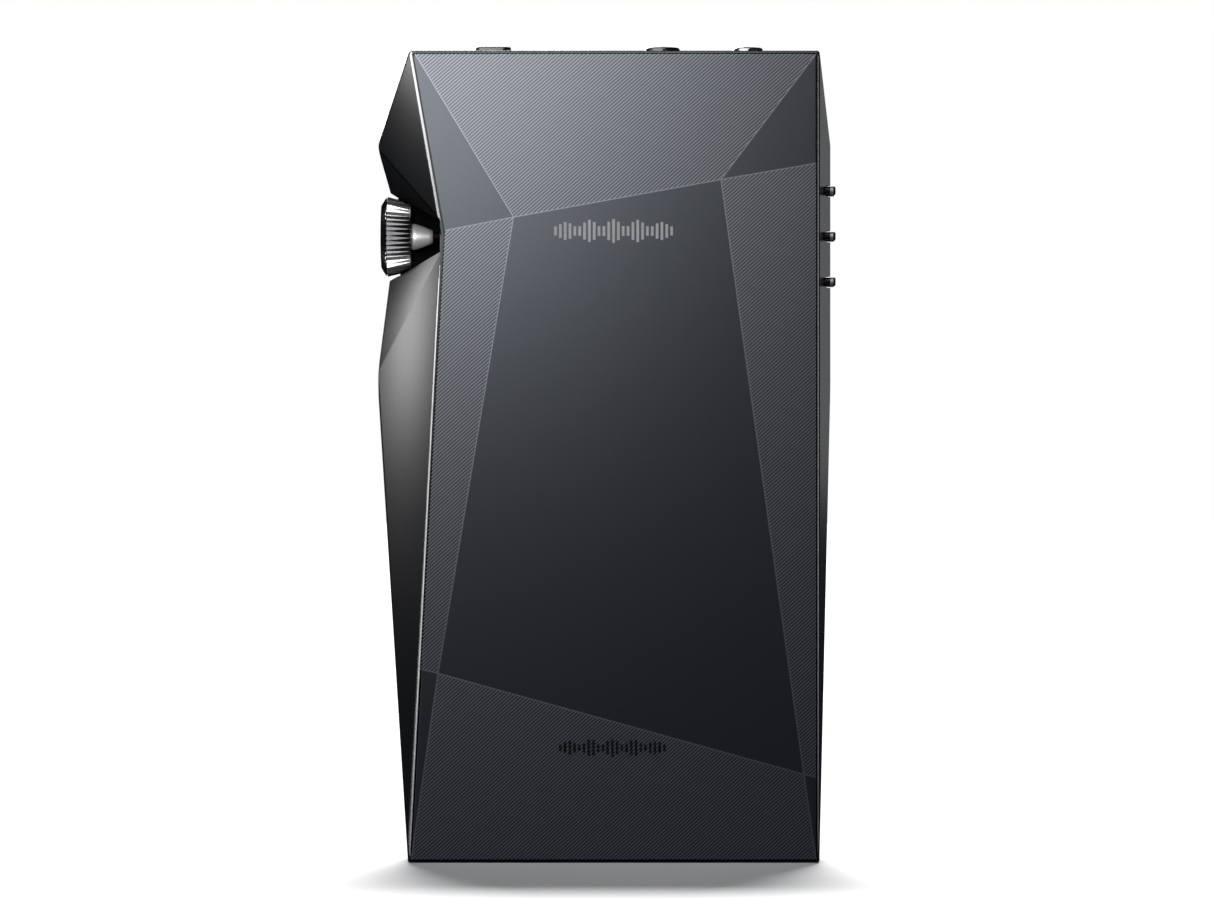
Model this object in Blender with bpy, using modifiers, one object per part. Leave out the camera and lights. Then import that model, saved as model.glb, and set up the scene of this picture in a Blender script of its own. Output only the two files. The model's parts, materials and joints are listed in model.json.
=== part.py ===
"""A pocket digital audio player with a faceted metal body and a knurled volume crown.

Blender 4.5. Run with: blender --background --python part.py
Row frame, in metres: +Z up, the screen faces -Y, the glass back faces +Y and the crown is at +X.
The origin is at the middle of the underside. Every separate piece of the player is one object.
"""

import math

import bmesh
import bpy
from mathutils import Matrix, Vector

MM = 0.001

# --- Driving dimensions of the body -----------------------------------------------------------
BODY_HEIGHT = 140.4 * MM
HALF_WIDTH = 39.85 * MM  # to the two peaks beside the crown, and to the side keys' tips
GLASS_Y = 8.75 * MM  # the outer faces of both glass panels
RIM_Y = 8.55 * MM  # the metal rim, just below the glass
RIM_WIDTH = 0.38 * MM
GLASS_GAP = 0.22 * MM  # between the rim and the glass, all round

BACK_LEFT_X = -36.9 * MM  # the key side of the back, a straight edge
BACK_TOP_X = 34.04 * MM  # the crown side of the back, at its top corner
BACK_BEND_X = 28.4 * MM  # the same edge where it bends, level with the crown
BACK_BOTTOM_X = 34.25 * MM
FRONT_RIGHT_X = 34.1 * MM

RIDGE_X = -39.1 * MM  # the ridge along the key side, half way through the depth
KEY_RIDGE_TOP_Z = 123.9 * MM
KEY_RIDGE_BOTTOM_Z = 83.9 * MM
UPPER_PEAK_Z = 124.1 * MM
LOWER_PEAK_Z = 84.4 * MM
CORNER_STEP = 0.1 * MM  # the end facets of the sides stop this far outside the back's corners
PEAK_STEP = 0.35 * MM  # the notch facets start this far inside the two peaks

# --- The crown and its pocket -----------------------------------------------------------------
CROWN_Z = 108.45 * MM
CROWN_TEETH = 48
CROWN_BACK_X = 33.8 * MM
CROWN_WIDEST_X = 38.0 * MM
CROWN_FACE_X = 39.1 * MM
CROWN_BACK_RADIUS = 6.35 * MM
CROWN_RADIUS = 6.95 * MM
CROWN_FACE_RADIUS = 5.35 * MM
KNURL_DEPTH = 0.35 * MM
CROWN_CLEARANCE = 0.35 * MM
SHAFT_RADIUS = 0.9 * MM
RUNNING_GAP = 0.08 * MM

POCKET_WALL_X = 28.7 * MM
POCKET_FLOOR_Y = -5.2 * MM
POCKET_INNER_HALF = 2.85 * MM
POCKET_SLOPE = 0.54  # how fast the pocket opens, in height for each step outwards
NOTCH_UPPER = (37.6 * MM, 116.1 * MM)  # x, z where the upper facet meets the pocket at mid depth
NOTCH_LOWER = (37.78 * MM, 100.8 * MM)
RIDGE_END_RISE = 3.05 * MM  # how far above and below the crown the two ridges reach the back

# --- The inside of the frame ------------------------------------------------------------------
PLATE_SEAT = [
    (-34.6 * MM, 1.9 * MM),
    (31.5 * MM, 1.9 * MM),
    (27.3 * MM, 98.0 * MM),
    (27.3 * MM, 118.0 * MM),
    (30.9 * MM, 138.3 * MM),
    (-34.6 * MM, 138.3 * MM),
]
CAVITY_LEFT_X = -34.2 * MM
CAVITY_RIGHT_X = 26.9 * MM  # beside the crown, where the cavity is narrowest
CAVITY_BOTTOM_RIGHT_X = 30.9 * MM
CAVITY_TOP_RIGHT_X = 30.3 * MM
FLOOR_TOP_Z = 2.3 * MM
LEFT_BOSS = 5.3 * MM  # a square screw boss in each corner of the cavity
RIGHT_BOSS = 5.0 * MM
FRONT_SEAT_Y = -7.6 * MM  # the ledge that the front glass is glued to
DISPLAY_SEAT_Y = -6.0 * MM
PLATE_SEAT_Y = -5.0 * MM
REAR_SEAT_Y = 6.4 * MM
TOP_WALL_Z = 137.9 * MM

SCREW_RADIUS = 0.7 * MM
SCREW_HEAD_RADIUS = 1.25 * MM
SCREW_HEAD = 0.5 * MM
SCREW_LENGTH = 3.4 * MM
SCREW_HOLE_RADIUS = 0.85 * MM

# --- Sockets, keys and boards -----------------------------------------------------------------
BALANCED_JACK_X = -9.8 * MM
STEREO_JACK_X = -24.7 * MM
COLLAR_TOP_Z = BODY_HEIGHT + 0.95 * MM
POWER_X = 19.65 * MM
POWER_TOP_Z = BODY_HEIGHT + 1.1 * MM
POWER_SIZE = (6.25 * MM, 3.0 * MM)
KEY_PITCH = 7.9 * MM
KEY_LENGTH = 8.0 * MM
KEY_HEIGHT = 1.5 * MM
KEY_TRAVEL = 0.4 * MM
USB_SIZE = (8.94 * MM, 3.2 * MM, 7.3 * MM)
CARD_SLOT_X = -20.0 * MM
CARD_SLOT_Y = 0.72 * MM
BOARD_FRONT_Y = 2.2 * MM
BOARD_BACK_Y = 3.2 * MM

FAR = 60 * MM  # longer than any part: cutters reach past the body
OVER = 1.0 * MM  # how far a cutter runs past the face that it opens


# --- Scene, collections and materials ---------------------------------------------------------
def clear_scene():
    for obj in list(bpy.data.objects):
        bpy.data.objects.remove(obj)


def new_collection(name):
    collection = bpy.data.collections.new(name)
    bpy.context.scene.collection.children.link(collection)
    return collection


def material(name, colour, roughness, metallic=0.0):
    made = bpy.data.materials.new(name)
    made.use_nodes = True
    shader = made.node_tree.nodes["Principled BSDF"]
    shader.inputs["Base Color"].default_value = (*colour, 1)
    shader.inputs["Roughness"].default_value = roughness
    shader.inputs["Metallic"].default_value = metallic
    return made


clear_scene()
PARTS = new_collection("audio_player")
CUTTERS = new_collection("cutters")

BLACK_METAL = material("black_anodised_metal", (0.035, 0.035, 0.037), 0.3, 1.0)
DARK_CHROME = material("dark_chrome", (0.08, 0.08, 0.085), 0.22, 1.0)
BRIGHT_METAL = material("polished_metal", (0.6, 0.58, 0.56), 0.2, 1.0)
STEEL = material("steel", (0.45, 0.45, 0.46), 0.35, 1.0)
BRASS = material("brass", (0.55, 0.42, 0.18), 0.3, 1.0)
BACK_GLASS = material("smoked_back_glass", (0.06, 0.07, 0.08), 0.15)
FRONT_GLASS = material("black_front_glass", (0.01, 0.01, 0.012), 0.05)
FILM = material("patterned_film", (0.1, 0.11, 0.12), 0.35, 0.6)
BLACK_PLASTIC = material("black_plastic", (0.02, 0.02, 0.02), 0.5)
LIGHT_ALLOY = material("magnesium_plate", (0.35, 0.35, 0.36), 0.5, 0.8)
BOARD_GREEN = material("circuit_board", (0.01, 0.06, 0.04), 0.45)
SILVER_POUCH = material("battery_pouch", (0.5, 0.5, 0.5), 0.4, 0.6)
AMBER_FLEX = material("flexible_circuit", (0.35, 0.16, 0.03), 0.4)
GREY_PAD = material("thermal_pad", (0.3, 0.32, 0.36), 0.8)


# --- Shape helpers ----------------------------------------------------------------------------
def place(obj, collection, look=None):
    """Puts an object in one collection only, as a part or as a hidden cutter."""
    for other in list(obj.users_collection):
        other.objects.unlink(obj)
    collection.objects.link(obj)
    if collection == CUTTERS:
        obj.hide_render = True
        obj.display_type = "WIRE"
    if look is not None:
        obj.data.materials.clear()
        obj.data.materials.append(look)
    return obj


def bevel(obj, width, segments=1, angle=30):
    modifier = obj.modifiers.new("rounded_edges", "BEVEL")
    modifier.width = width
    modifier.segments = segments
    modifier.limit_method = "ANGLE"
    modifier.angle_limit = math.radians(angle)
    return obj


def box(name, low, high, look=None, collection=None, rounding=0.0):
    """A box between two corners, in metres."""
    size = [b - a for a, b in zip(low, high)]
    bpy.ops.mesh.primitive_cube_add(size=1)
    obj = bpy.context.object
    obj.name = name
    obj.data.transform(Matrix.Diagonal((*size, 1)))
    obj.location = [(a + b) / 2 for a, b in zip(low, high)]
    place(obj, collection or PARTS, look)
    if rounding:
        bevel(obj, rounding)
    return obj


def rod(name, radius, start, end, look=None, collection=None, sides=32):
    """A round bar between two points on one axis."""
    start, end = Vector(start), Vector(end)
    bpy.ops.mesh.primitive_cylinder_add(
        vertices=sides, radius=radius, depth=(end - start).length, location=(start + end) / 2
    )
    obj = bpy.context.object
    obj.name = name
    obj.rotation_euler = (end - start).to_track_quat("Z", "Y").to_euler()
    obj.data.shade_smooth()
    obj.data.set_sharp_from_angle(angle=math.radians(30))
    return place(obj, collection or PARTS, look)


def turned(name, profile, origin, look=None, collection=None, sides=32, along_x=False, bored=False):
    """A turned piece. The profile lists (radius, height) down its outer side. A bored piece's profile
    goes back up the bore and closes. along_x lays the piece down, so that its height runs along +X."""
    points = [(radius, 0, height) for radius, height in profile]
    edges = [(i, i + 1) for i in range(len(points) - 1)]
    if bored:
        edges.append((len(points) - 1, 0))
    mesh = bpy.data.meshes.new(name)
    mesh.from_pydata(points, edges, [])
    obj = bpy.data.objects.new(name, mesh)
    screw = obj.modifiers.new("turned", "SCREW")
    screw.steps = sides
    screw.render_steps = sides
    screw.use_merge_vertices = True
    screw.merge_threshold = 1e-6
    screw.use_smooth_shade = False
    obj.location = origin
    if along_x:
        obj.rotation_euler = (0, math.pi / 2, 0)
    return place(obj, collection or PARTS, look)


def plate(name, outlines, front_y, back_y, look=None, collection=None, rounding=0.0):
    """A flat piece from front_y to back_y. The first (x, z) outline is its edge, the others are holes."""
    curve = bpy.data.curves.new(name, "CURVE")
    curve.dimensions = "2D"
    curve.fill_mode = "BOTH"
    curve.extrude = (back_y - front_y) / 2
    for outline in outlines:
        spline = curve.splines.new("POLY")
        spline.points.add(len(outline) - 1)
        spline.use_cyclic_u = True
        for point, (x, z) in zip(spline.points, outline):
            point.co = (x, z, 0, 1)
    return solid_from_curve(name, curve, (0, (front_y + back_y) / 2, 0), (math.pi / 2, 0, 0), look,
                            collection, rounding)


def level_plate(name, outlines, low_z, high_z, look=None, collection=None, rounding=0.0):
    """As plate, but level: (x, y) outlines from low_z to high_z."""
    curve = bpy.data.curves.new(name, "CURVE")
    curve.dimensions = "2D"
    curve.fill_mode = "BOTH"
    curve.extrude = (high_z - low_z) / 2
    for outline in outlines:
        spline = curve.splines.new("POLY")
        spline.points.add(len(outline) - 1)
        spline.use_cyclic_u = True
        for point, (x, y) in zip(spline.points, outline):
            point.co = (x, y, 0, 1)
    return solid_from_curve(name, curve, (0, 0, (low_z + high_z) / 2), (0, 0, 0), look, collection,
                            rounding)


def side_plate(name, outlines, low_x, high_x, look=None, collection=None, rounding=0.0):
    """As plate, but facing sideways: (y, z) outlines from low_x to high_x."""
    curve = bpy.data.curves.new(name, "CURVE")
    curve.dimensions = "2D"
    curve.fill_mode = "BOTH"
    curve.extrude = (high_x - low_x) / 2
    for outline in outlines:
        spline = curve.splines.new("POLY")
        spline.points.add(len(outline) - 1)
        spline.use_cyclic_u = True
        for point, (y, z) in zip(spline.points, outline):
            point.co = (y, z, 0, 1)
    return solid_from_curve(name, curve, ((low_x + high_x) / 2, 0, 0),
                            (math.pi / 2, 0, math.pi / 2), look, collection, rounding)


def solid_from_curve(name, curve, location, rotation, look, collection, rounding):
    """Turns a filled curve into a closed mesh with its caps welded on."""
    guide = bpy.data.objects.new(name + "_outline", curve)
    bpy.context.scene.collection.objects.link(guide)
    guide.location = location
    guide.rotation_euler = rotation
    bpy.context.view_layer.update()
    graph = bpy.context.evaluated_depsgraph_get()
    mesh = bpy.data.meshes.new_from_object(guide.evaluated_get(graph))
    welded = bmesh.new()
    welded.from_mesh(mesh)
    bmesh.ops.remove_doubles(welded, verts=welded.verts, dist=1e-6)
    bmesh.ops.recalc_face_normals(welded, faces=welded.faces)
    welded.to_mesh(mesh)
    welded.free()
    obj = bpy.data.objects.new(name, mesh)
    obj.matrix_world = guide.matrix_world
    bpy.data.objects.remove(guide)
    place(obj, collection or PARTS, look)
    if rounding:
        bevel(obj, rounding)
    return obj


def inset(outline, distance):
    """The outline with every side moved inwards by distance. The corners run anticlockwise."""
    moved = []
    count = len(outline)
    for i in range(count):
        before, here, after = (Vector(outline[(i + k) % count]) for k in (-1, 0, 1))
        into, out = (here - before).normalized(), (after - here).normalized()
        inward = Vector((-into.y, into.x)) + Vector((-out.y, out.x))
        inward.normalize()
        reach = distance / max(inward.dot(Vector((-into.y, into.x))), 0.1)
        moved.append(tuple(here + inward * reach))
    return moved


def rounded(outline, radius, steps=4):
    """The outline with each corner turned into an arc of the given radius."""
    points = []
    count = len(outline)
    for i in range(count):
        before, here, after = (Vector(outline[(i + k) % count]) for k in (-1, 0, 1))
        into, out = (here - before).normalized(), (after - here).normalized()
        turn = math.atan2(into.x * out.y - into.y * out.x, into.dot(out))
        side = math.copysign(1, turn)
        centre = here - into * radius * math.tan(abs(turn) / 2)
        centre += Vector((-into.y, into.x)) * radius * side
        start = math.atan2(-into.x * side, into.y * side)
        for k in range(steps + 1):
            angle = start + turn * k / steps
            points.append((centre.x + radius * math.cos(angle), centre.y + radius * math.sin(angle)))
    return points


def rectangle(low_a, low_b, high_a, high_b):
    return [(low_a, low_b), (high_a, low_b), (high_a, high_b), (low_a, high_b)]


def pill(centre_a, centre_b, length, height, steps=6):
    """A slot with round ends, its long side along the first axis."""
    radius = height / 2
    reach = length / 2 - radius
    points = []
    for side, start in ((1, -math.pi / 2), (-1, math.pi / 2)):
        for k in range(steps + 1):
            angle = start + math.pi * k / steps
            points.append((centre_a + side * reach + radius * math.cos(angle),
                           centre_b + radius * math.sin(angle)))
    return points


def circle(centre_a, centre_b, radius, sides=24):
    turns = (2 * math.pi * k / sides for k in range(sides))
    return [(centre_a + radius * math.cos(t), centre_b + radius * math.sin(t)) for t in turns]


def cut(obj, *cutters):
    for cutter in cutters:
        modifier = obj.modifiers.new("cut_" + cutter.name, "BOOLEAN")
        modifier.operation = "DIFFERENCE"
        modifier.object = cutter
        modifier.solver = "EXACT"
    return obj


def plane_facing(corners, inside):
    """The plane through three points, as (point, normal), its normal pointing away from inside."""
    a, b, c = (Vector(corner) for corner in corners)
    normal = (b - a).cross(c - a).normalized()
    return a, normal if normal.dot(Vector(inside) - a) < 0 else -normal


def shaved_box(name, low, high, planes, look=None, collection=None):
    """A box with everything on the far side of each plane shaved off. It stays convex."""
    obj = box(name, low, high, look, collection)
    shape = bmesh.new()
    shape.from_mesh(obj.data)
    for point, normal in planes:
        everything = shape.verts[:] + shape.edges[:] + shape.faces[:]
        result = bmesh.ops.bisect_plane(
            shape, geom=everything, plane_co=point - obj.location, plane_no=normal,
            dist=1e-8, clear_outer=True,
        )
        rim = [part for part in result["geom_cut"] if isinstance(part, bmesh.types.BMEdge)]
        bmesh.ops.contextual_create(shape, geom=rim)
    bmesh.ops.recalc_face_normals(shape, faces=shape.faces)
    shape.to_mesh(obj.data)
    shape.free()
    return obj


# --- The faceted frame ------------------------------------------------------------------------
BACK_OUTLINE = [
    (BACK_LEFT_X, 0),
    (BACK_BOTTOM_X, 0),
    (BACK_BEND_X, CROWN_Z),
    (BACK_TOP_X, BODY_HEIGHT),
    (BACK_LEFT_X, BODY_HEIGHT),
]
FRONT_OUTLINE = rectangle(BACK_LEFT_X, 0, FRONT_RIGHT_X, BODY_HEIGHT)
UPPER_PEAK = (HALF_WIDTH, 0, UPPER_PEAK_Z)
LOWER_PEAK = (HALF_WIDTH, 0, LOWER_PEAK_Z)
MIDDLE = (0, 0, BODY_HEIGHT / 2)


def back_edge_x(z):
    """x of the crown side's back edge at height z."""
    if z > CROWN_Z:
        share = (z - CROWN_Z) / (BODY_HEIGHT - CROWN_Z)
        return BACK_BEND_X + share * (BACK_TOP_X - BACK_BEND_X)
    share = (CROWN_Z - z) / CROWN_Z
    return BACK_BEND_X + share * (BACK_BOTTOM_X - BACK_BEND_X)


def body_block():
    """The block that holds the whole frame, with the facets that go all along its sides."""
    def upright(a, b):
        """A plane through two (x, y) points, parallel to Z."""
        return plane_facing([(*a, 0), (*b, 0), (*a, BODY_HEIGHT)], MIDDLE)

    def across(a, b):
        """A plane through two (x, z) points, parallel to Y."""
        return plane_facing([(a[0], 0, a[1]), (b[0], 0, b[1]), (a[0], RIM_Y, a[1])], MIDDLE)

    left_corner_x = BACK_LEFT_X - CORNER_STEP
    planes = [
        upright((BACK_LEFT_X, RIM_Y), (RIDGE_X, 0)),
        upright((BACK_LEFT_X, -RIM_Y), (RIDGE_X, 0)),
        upright((FRONT_RIGHT_X, -RIM_Y), (HALF_WIDTH, 0)),
        across((left_corner_x, BODY_HEIGHT), (RIDGE_X, KEY_RIDGE_TOP_Z)),
        across((left_corner_x, 0), (RIDGE_X, KEY_RIDGE_BOTTOM_Z)),
        across((BACK_TOP_X + CORNER_STEP, BODY_HEIGHT), (HALF_WIDTH, UPPER_PEAK_Z)),
        across((BACK_BOTTOM_X + CORNER_STEP, 0), (HALF_WIDTH, LOWER_PEAK_Z)),
    ]
    low = (-HALF_WIDTH, -RIM_Y, 0)
    high = (HALF_WIDTH + OVER, RIM_Y, BODY_HEIGHT)
    return shaved_box("body_frame", low, high, planes, BLACK_METAL)


def valley_cutter(name, upper_corners, lower_corners, from_x):
    """What lies outside both of two facets that meet in a valley, beyond from_x."""
    planes = []
    for corners in (upper_corners, lower_corners):
        point, outward = plane_facing(corners, MIDDLE)
        planes.append((point, -outward))
    low = (from_x, -2 * RIM_Y, -OVER)
    high = (FAR, 2 * RIM_Y, BODY_HEIGHT + OVER)
    return shaved_box(name, low, high, planes, collection=CUTTERS)


def crown_side_cutters():
    """The long facets behind the two peaks, and the notch between the peaks, back and front."""
    bend = (BACK_BEND_X, RIM_Y, CROWN_Z)
    upper_start = (HALF_WIDTH, 0, UPPER_PEAK_Z - PEAK_STEP)
    lower_start = (HALF_WIDTH, 0, LOWER_PEAK_Z + PEAK_STEP)
    upper_notch = (NOTCH_UPPER[0], 0, NOTCH_UPPER[1])
    lower_notch = (NOTCH_LOWER[0], 0, NOTCH_LOWER[1])
    upper_end_z = CROWN_Z + RIDGE_END_RISE
    lower_end_z = CROWN_Z - RIDGE_END_RISE
    upper_end = (back_edge_x(upper_end_z), RIM_Y, upper_end_z)
    lower_end = (back_edge_x(lower_end_z), RIM_Y, lower_end_z)
    front_end = (FRONT_RIGHT_X, -RIM_Y, CROWN_Z)
    return [
        valley_cutter("cut_back_facets", [(BACK_TOP_X, RIM_Y, BODY_HEIGHT), UPPER_PEAK, bend],
                      [(BACK_BOTTOM_X, RIM_Y, 0), LOWER_PEAK, bend], 0),
        valley_cutter("cut_back_notch", [upper_start, upper_notch, upper_end],
                      [lower_start, lower_notch, lower_end], POCKET_WALL_X + RUNNING_GAP),
        valley_cutter("cut_front_notch", [upper_start, upper_notch, front_end],
                      [lower_start, lower_notch, front_end], 0),
    ]


def crown_pocket_cutter():
    """The wedge that shelters the crown. It opens towards the back."""
    outer_x = HALF_WIDTH + OVER
    outer_half = POCKET_INNER_HALF + POCKET_SLOPE * (outer_x - POCKET_WALL_X)
    outline = [
        (POCKET_WALL_X, CROWN_Z - POCKET_INNER_HALF),
        (outer_x, CROWN_Z - outer_half),
        (outer_x, CROWN_Z + outer_half),
        (POCKET_WALL_X, CROWN_Z + POCKET_INNER_HALF),
    ]
    return plate("cut_crown_pocket", [outline], POCKET_FLOOR_Y, RIM_Y + OVER, collection=CUTTERS)


def crown_clearance_cutter():
    """Room for the crown to turn, a little larger than the crown all round."""
    back_x = CROWN_BACK_X - CROWN_CLEARANCE
    outer_x = HALF_WIDTH + OVER
    slope = (CROWN_RADIUS - CROWN_BACK_RADIUS) / (CROWN_WIDEST_X - CROWN_BACK_X)
    back_radius = CROWN_BACK_RADIUS + CROWN_CLEARANCE
    outer_radius = back_radius + slope * (outer_x - back_x)
    profile = [(0, outer_x), (outer_radius, outer_x), (back_radius, back_x), (0, back_x)]
    return turned("cut_crown_room", profile, (0, 0, CROWN_Z), collection=CUTTERS, sides=48,
                  along_x=True)


def cavity_with_bosses():
    """The cavity's outline with a square screw boss left standing in each corner."""
    low, high = FLOOR_TOP_Z, TOP_WALL_Z
    return [
        (CAVITY_LEFT_X + LEFT_BOSS, low),
        (CAVITY_BOTTOM_RIGHT_X - RIGHT_BOSS, low),
        (CAVITY_BOTTOM_RIGHT_X - RIGHT_BOSS, low + RIGHT_BOSS),
        (CAVITY_BOTTOM_RIGHT_X - 0.2 * MM, low + RIGHT_BOSS),
        (CAVITY_RIGHT_X, 98.0 * MM),
        (CAVITY_RIGHT_X, 118.0 * MM),
        (CAVITY_TOP_RIGHT_X - 0.9 * MM, high - RIGHT_BOSS),
        (CAVITY_TOP_RIGHT_X - RIGHT_BOSS, high - RIGHT_BOSS),
        (CAVITY_TOP_RIGHT_X - RIGHT_BOSS, high),
        (CAVITY_LEFT_X + LEFT_BOSS, high),
        (CAVITY_LEFT_X + LEFT_BOSS, high - LEFT_BOSS),
        (CAVITY_LEFT_X, high - LEFT_BOSS),
        (CAVITY_LEFT_X, low + LEFT_BOSS),
        (CAVITY_LEFT_X + LEFT_BOSS, low + LEFT_BOSS),
    ]


def boss_centres():
    """(x, z) of the four screw bosses."""
    left, right = LEFT_BOSS / 2, RIGHT_BOSS / 2
    return [
        (CAVITY_LEFT_X + left, FLOOR_TOP_Z + left),
        (CAVITY_BOTTOM_RIGHT_X - right, FLOOR_TOP_Z + right),
        (CAVITY_TOP_RIGHT_X - right, TOP_WALL_Z - right),
        (CAVITY_LEFT_X + left, TOP_WALL_Z - left),
    ]


def key_heights():
    return [CROWN_Z + KEY_PITCH, CROWN_Z, CROWN_Z - KEY_PITCH]


def inner_cutters():
    display_room = rectangle(-34.0 * MM, 10.4 * MM, 31.4 * MM, 129.6 * MM)
    return [
        plate("cut_front_seat", [rounded(inset(FRONT_OUTLINE, RIM_WIDTH), 0.8 * MM)],
              -RIM_Y - OVER, FRONT_SEAT_Y, collection=CUTTERS),
        plate("cut_display_seat", [display_room], FRONT_SEAT_Y - OVER / 2, DISPLAY_SEAT_Y,
              collection=CUTTERS),
        plate("cut_plate_seat", [PLATE_SEAT], FRONT_SEAT_Y - OVER, PLATE_SEAT_Y,
              collection=CUTTERS),
        plate("cut_cavity", [cavity_with_bosses()], PLATE_SEAT_Y - OVER / 2, REAR_SEAT_Y + OVER / 2,
              collection=CUTTERS),
        plate("cut_rear_seat", [rounded(inset(BACK_OUTLINE, RIM_WIDTH), 0.5 * MM)],
              REAR_SEAT_Y, RIM_Y + OVER, collection=CUTTERS),
    ]


def wall_cutters():
    """Holes through the frame's walls for the keys, the sockets, the crown's bush and the screws."""
    through_left = (-HALF_WIDTH - OVER, CAVITY_LEFT_X + OVER / 2)
    made = []
    for number, z in enumerate(key_heights(), 1):
        made.append(side_plate(f"cut_key_slot_{number}", [pill(0, z, 8.5 * MM, 1.95 * MM)],
                               *through_left, collection=CUTTERS))
        made.append(side_plate(f"cut_key_seat_{number}", [rectangle(-5.0 * MM, z - 1.7 * MM,
                                                                    5.0 * MM, z + 1.7 * MM)],
                               -35.6 * MM, through_left[1], collection=CUTTERS))
    above = BODY_HEIGHT + OVER
    inside = TOP_WALL_Z - OVER / 2
    made.append(level_plate("cut_power_slot", [pill(POWER_X, 0, 6.65 * MM, 3.4 * MM)], inside, above,
                            collection=CUTTERS))
    for name, x, radius in (("balanced", BALANCED_JACK_X, 3.15 * MM), ("stereo", STEREO_JACK_X, 2.7 * MM)):
        made.append(rod(f"cut_{name}_jack", radius, (x, 0, inside), (x, 0, above),
                        collection=CUTTERS))
    floor_top = FLOOR_TOP_Z + OVER / 2
    made.append(level_plate("cut_usb", [pill(0, 0, 9.6 * MM, 3.8 * MM)], -OVER, floor_top,
                            collection=CUTTERS))
    card = rectangle(CARD_SLOT_X - 6.2 * MM, CARD_SLOT_Y - 0.7 * MM,
                     CARD_SLOT_X + 6.2 * MM, CARD_SLOT_Y + 0.7 * MM)
    made.append(level_plate("cut_card_slot", [card], -OVER, floor_top, collection=CUTTERS))
    made.append(rod("cut_bush_hole", 2.2 * MM, (26.4 * MM, 0, CROWN_Z), (29.5 * MM, 0, CROWN_Z),
                    collection=CUTTERS))
    for number, (x, z) in enumerate(boss_centres(), 1):
        made.append(rod(f"cut_front_screw_{number}", SCREW_HOLE_RADIUS,
                        (x, PLATE_SEAT_Y - OVER, z), (x, PLATE_SEAT_Y + 4 * MM, z),
                        collection=CUTTERS, sides=16))
        made.append(rod(f"cut_rear_screw_{number}", SCREW_HOLE_RADIUS,
                        (x, REAR_SEAT_Y - 4 * MM, z), (x, REAR_SEAT_Y + OVER, z),
                        collection=CUTTERS, sides=16))
    return made


def build_frame():
    frame = body_block()
    cut(frame, *crown_side_cutters(), crown_pocket_cutter(), crown_clearance_cutter())
    return cut(frame, *inner_cutters(), *wall_cutters())


# --- Front: glass, display and middle plate ---------------------------------------------------
def screw(name, x, seat_y, z, into, look=STEEL):
    """A machine screw whose head rests on seat_y. into is +1 or -1, the way it is driven along Y."""
    profile = [
        (0, SCREW_HEAD),
        (SCREW_HEAD_RADIUS, SCREW_HEAD),
        (SCREW_HEAD_RADIUS, 0),
        (SCREW_RADIUS, 0),
        (SCREW_RADIUS, -SCREW_LENGTH),
        (0, -SCREW_LENGTH),
    ]
    obj = turned(name, profile, (x, seat_y, z), look, sides=16)
    obj.rotation_euler = (into * math.pi / 2, 0, 0)
    return obj


def build_front():
    glass_edge = rounded(inset(FRONT_OUTLINE, RIM_WIDTH + GLASS_GAP), 0.6 * MM)
    plate("front_glass", [glass_edge], -GLASS_Y, -7.9 * MM, FRONT_GLASS, rounding=0.2 * MM)
    outer = rounded(inset(FRONT_OUTLINE, 0.9 * MM), 0.6 * MM)
    inner = rectangle(-34.9 * MM, 1.6 * MM, 31.8 * MM, 138.6 * MM)
    plate("front_adhesive", [outer, inner], -7.85 * MM, -7.65 * MM, BLACK_PLASTIC)
    box("display_panel", (-33.6 * MM, -7.85 * MM, 10.8 * MM), (31.0 * MM, -6.2 * MM, 129.2 * MM),
        BLACK_PLASTIC, rounding=0.15 * MM)
    plate_edge = inset(PLATE_SEAT, 0.15 * MM)
    holes = [circle(x, z, SCREW_HOLE_RADIUS, 16) for x, z in boss_centres()]
    flex_slot = rectangle(0.5 * MM, 11.4 * MM, 9.5 * MM, 13.6 * MM)
    lightening = [
        rounded(rectangle(-24 * MM, 26 * MM, -6 * MM, 84 * MM), 2 * MM),
        rounded(rectangle(2 * MM, 26 * MM, 20 * MM, 84 * MM), 2 * MM),
    ]
    plate("mid_plate", [plate_edge, *holes, flex_slot, *lightening], -5.85 * MM, -5.1 * MM,
          LIGHT_ALLOY)
    for number, (x, z) in enumerate(boss_centres(), 1):
        screw(f"mid_plate_screw_{number}", x, -5.9 * MM, z, into=1)
    build_display_flex()


def strip(name, path, thickness, low_x, high_x, look):
    """A bent ribbon: a (y, z) path given a thickness to one side, from low_x to high_x."""
    other_side = []
    for i, here in enumerate(path):
        before, after = path[max(i - 1, 0)], path[min(i + 1, len(path) - 1)]
        here = Vector(here)
        sides = []
        for a, b in ((Vector(before), here), (here, Vector(after))):
            if (b - a).length > 0:
                run = (b - a).normalized()
                sides.append(Vector((-run.y, run.x)))
        normal = sum(sides, Vector((0, 0))).normalized()
        other_side.append(tuple(here + normal * thickness / max(normal.dot(sides[0]), 0.3)))
    outline = list(path) + other_side[::-1]
    return side_plate(name, [outline], low_x, high_x, look)


def build_display_flex():
    path = [(-6.12 * MM, 16.0 * MM), (-6.12 * MM, 12.6 * MM), (1.2 * MM, 12.6 * MM),
            (1.2 * MM, 9.0 * MM)]
    strip("display_flex", path, 0.2 * MM, 1.5 * MM, 8.5 * MM, AMBER_FLEX)


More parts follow.
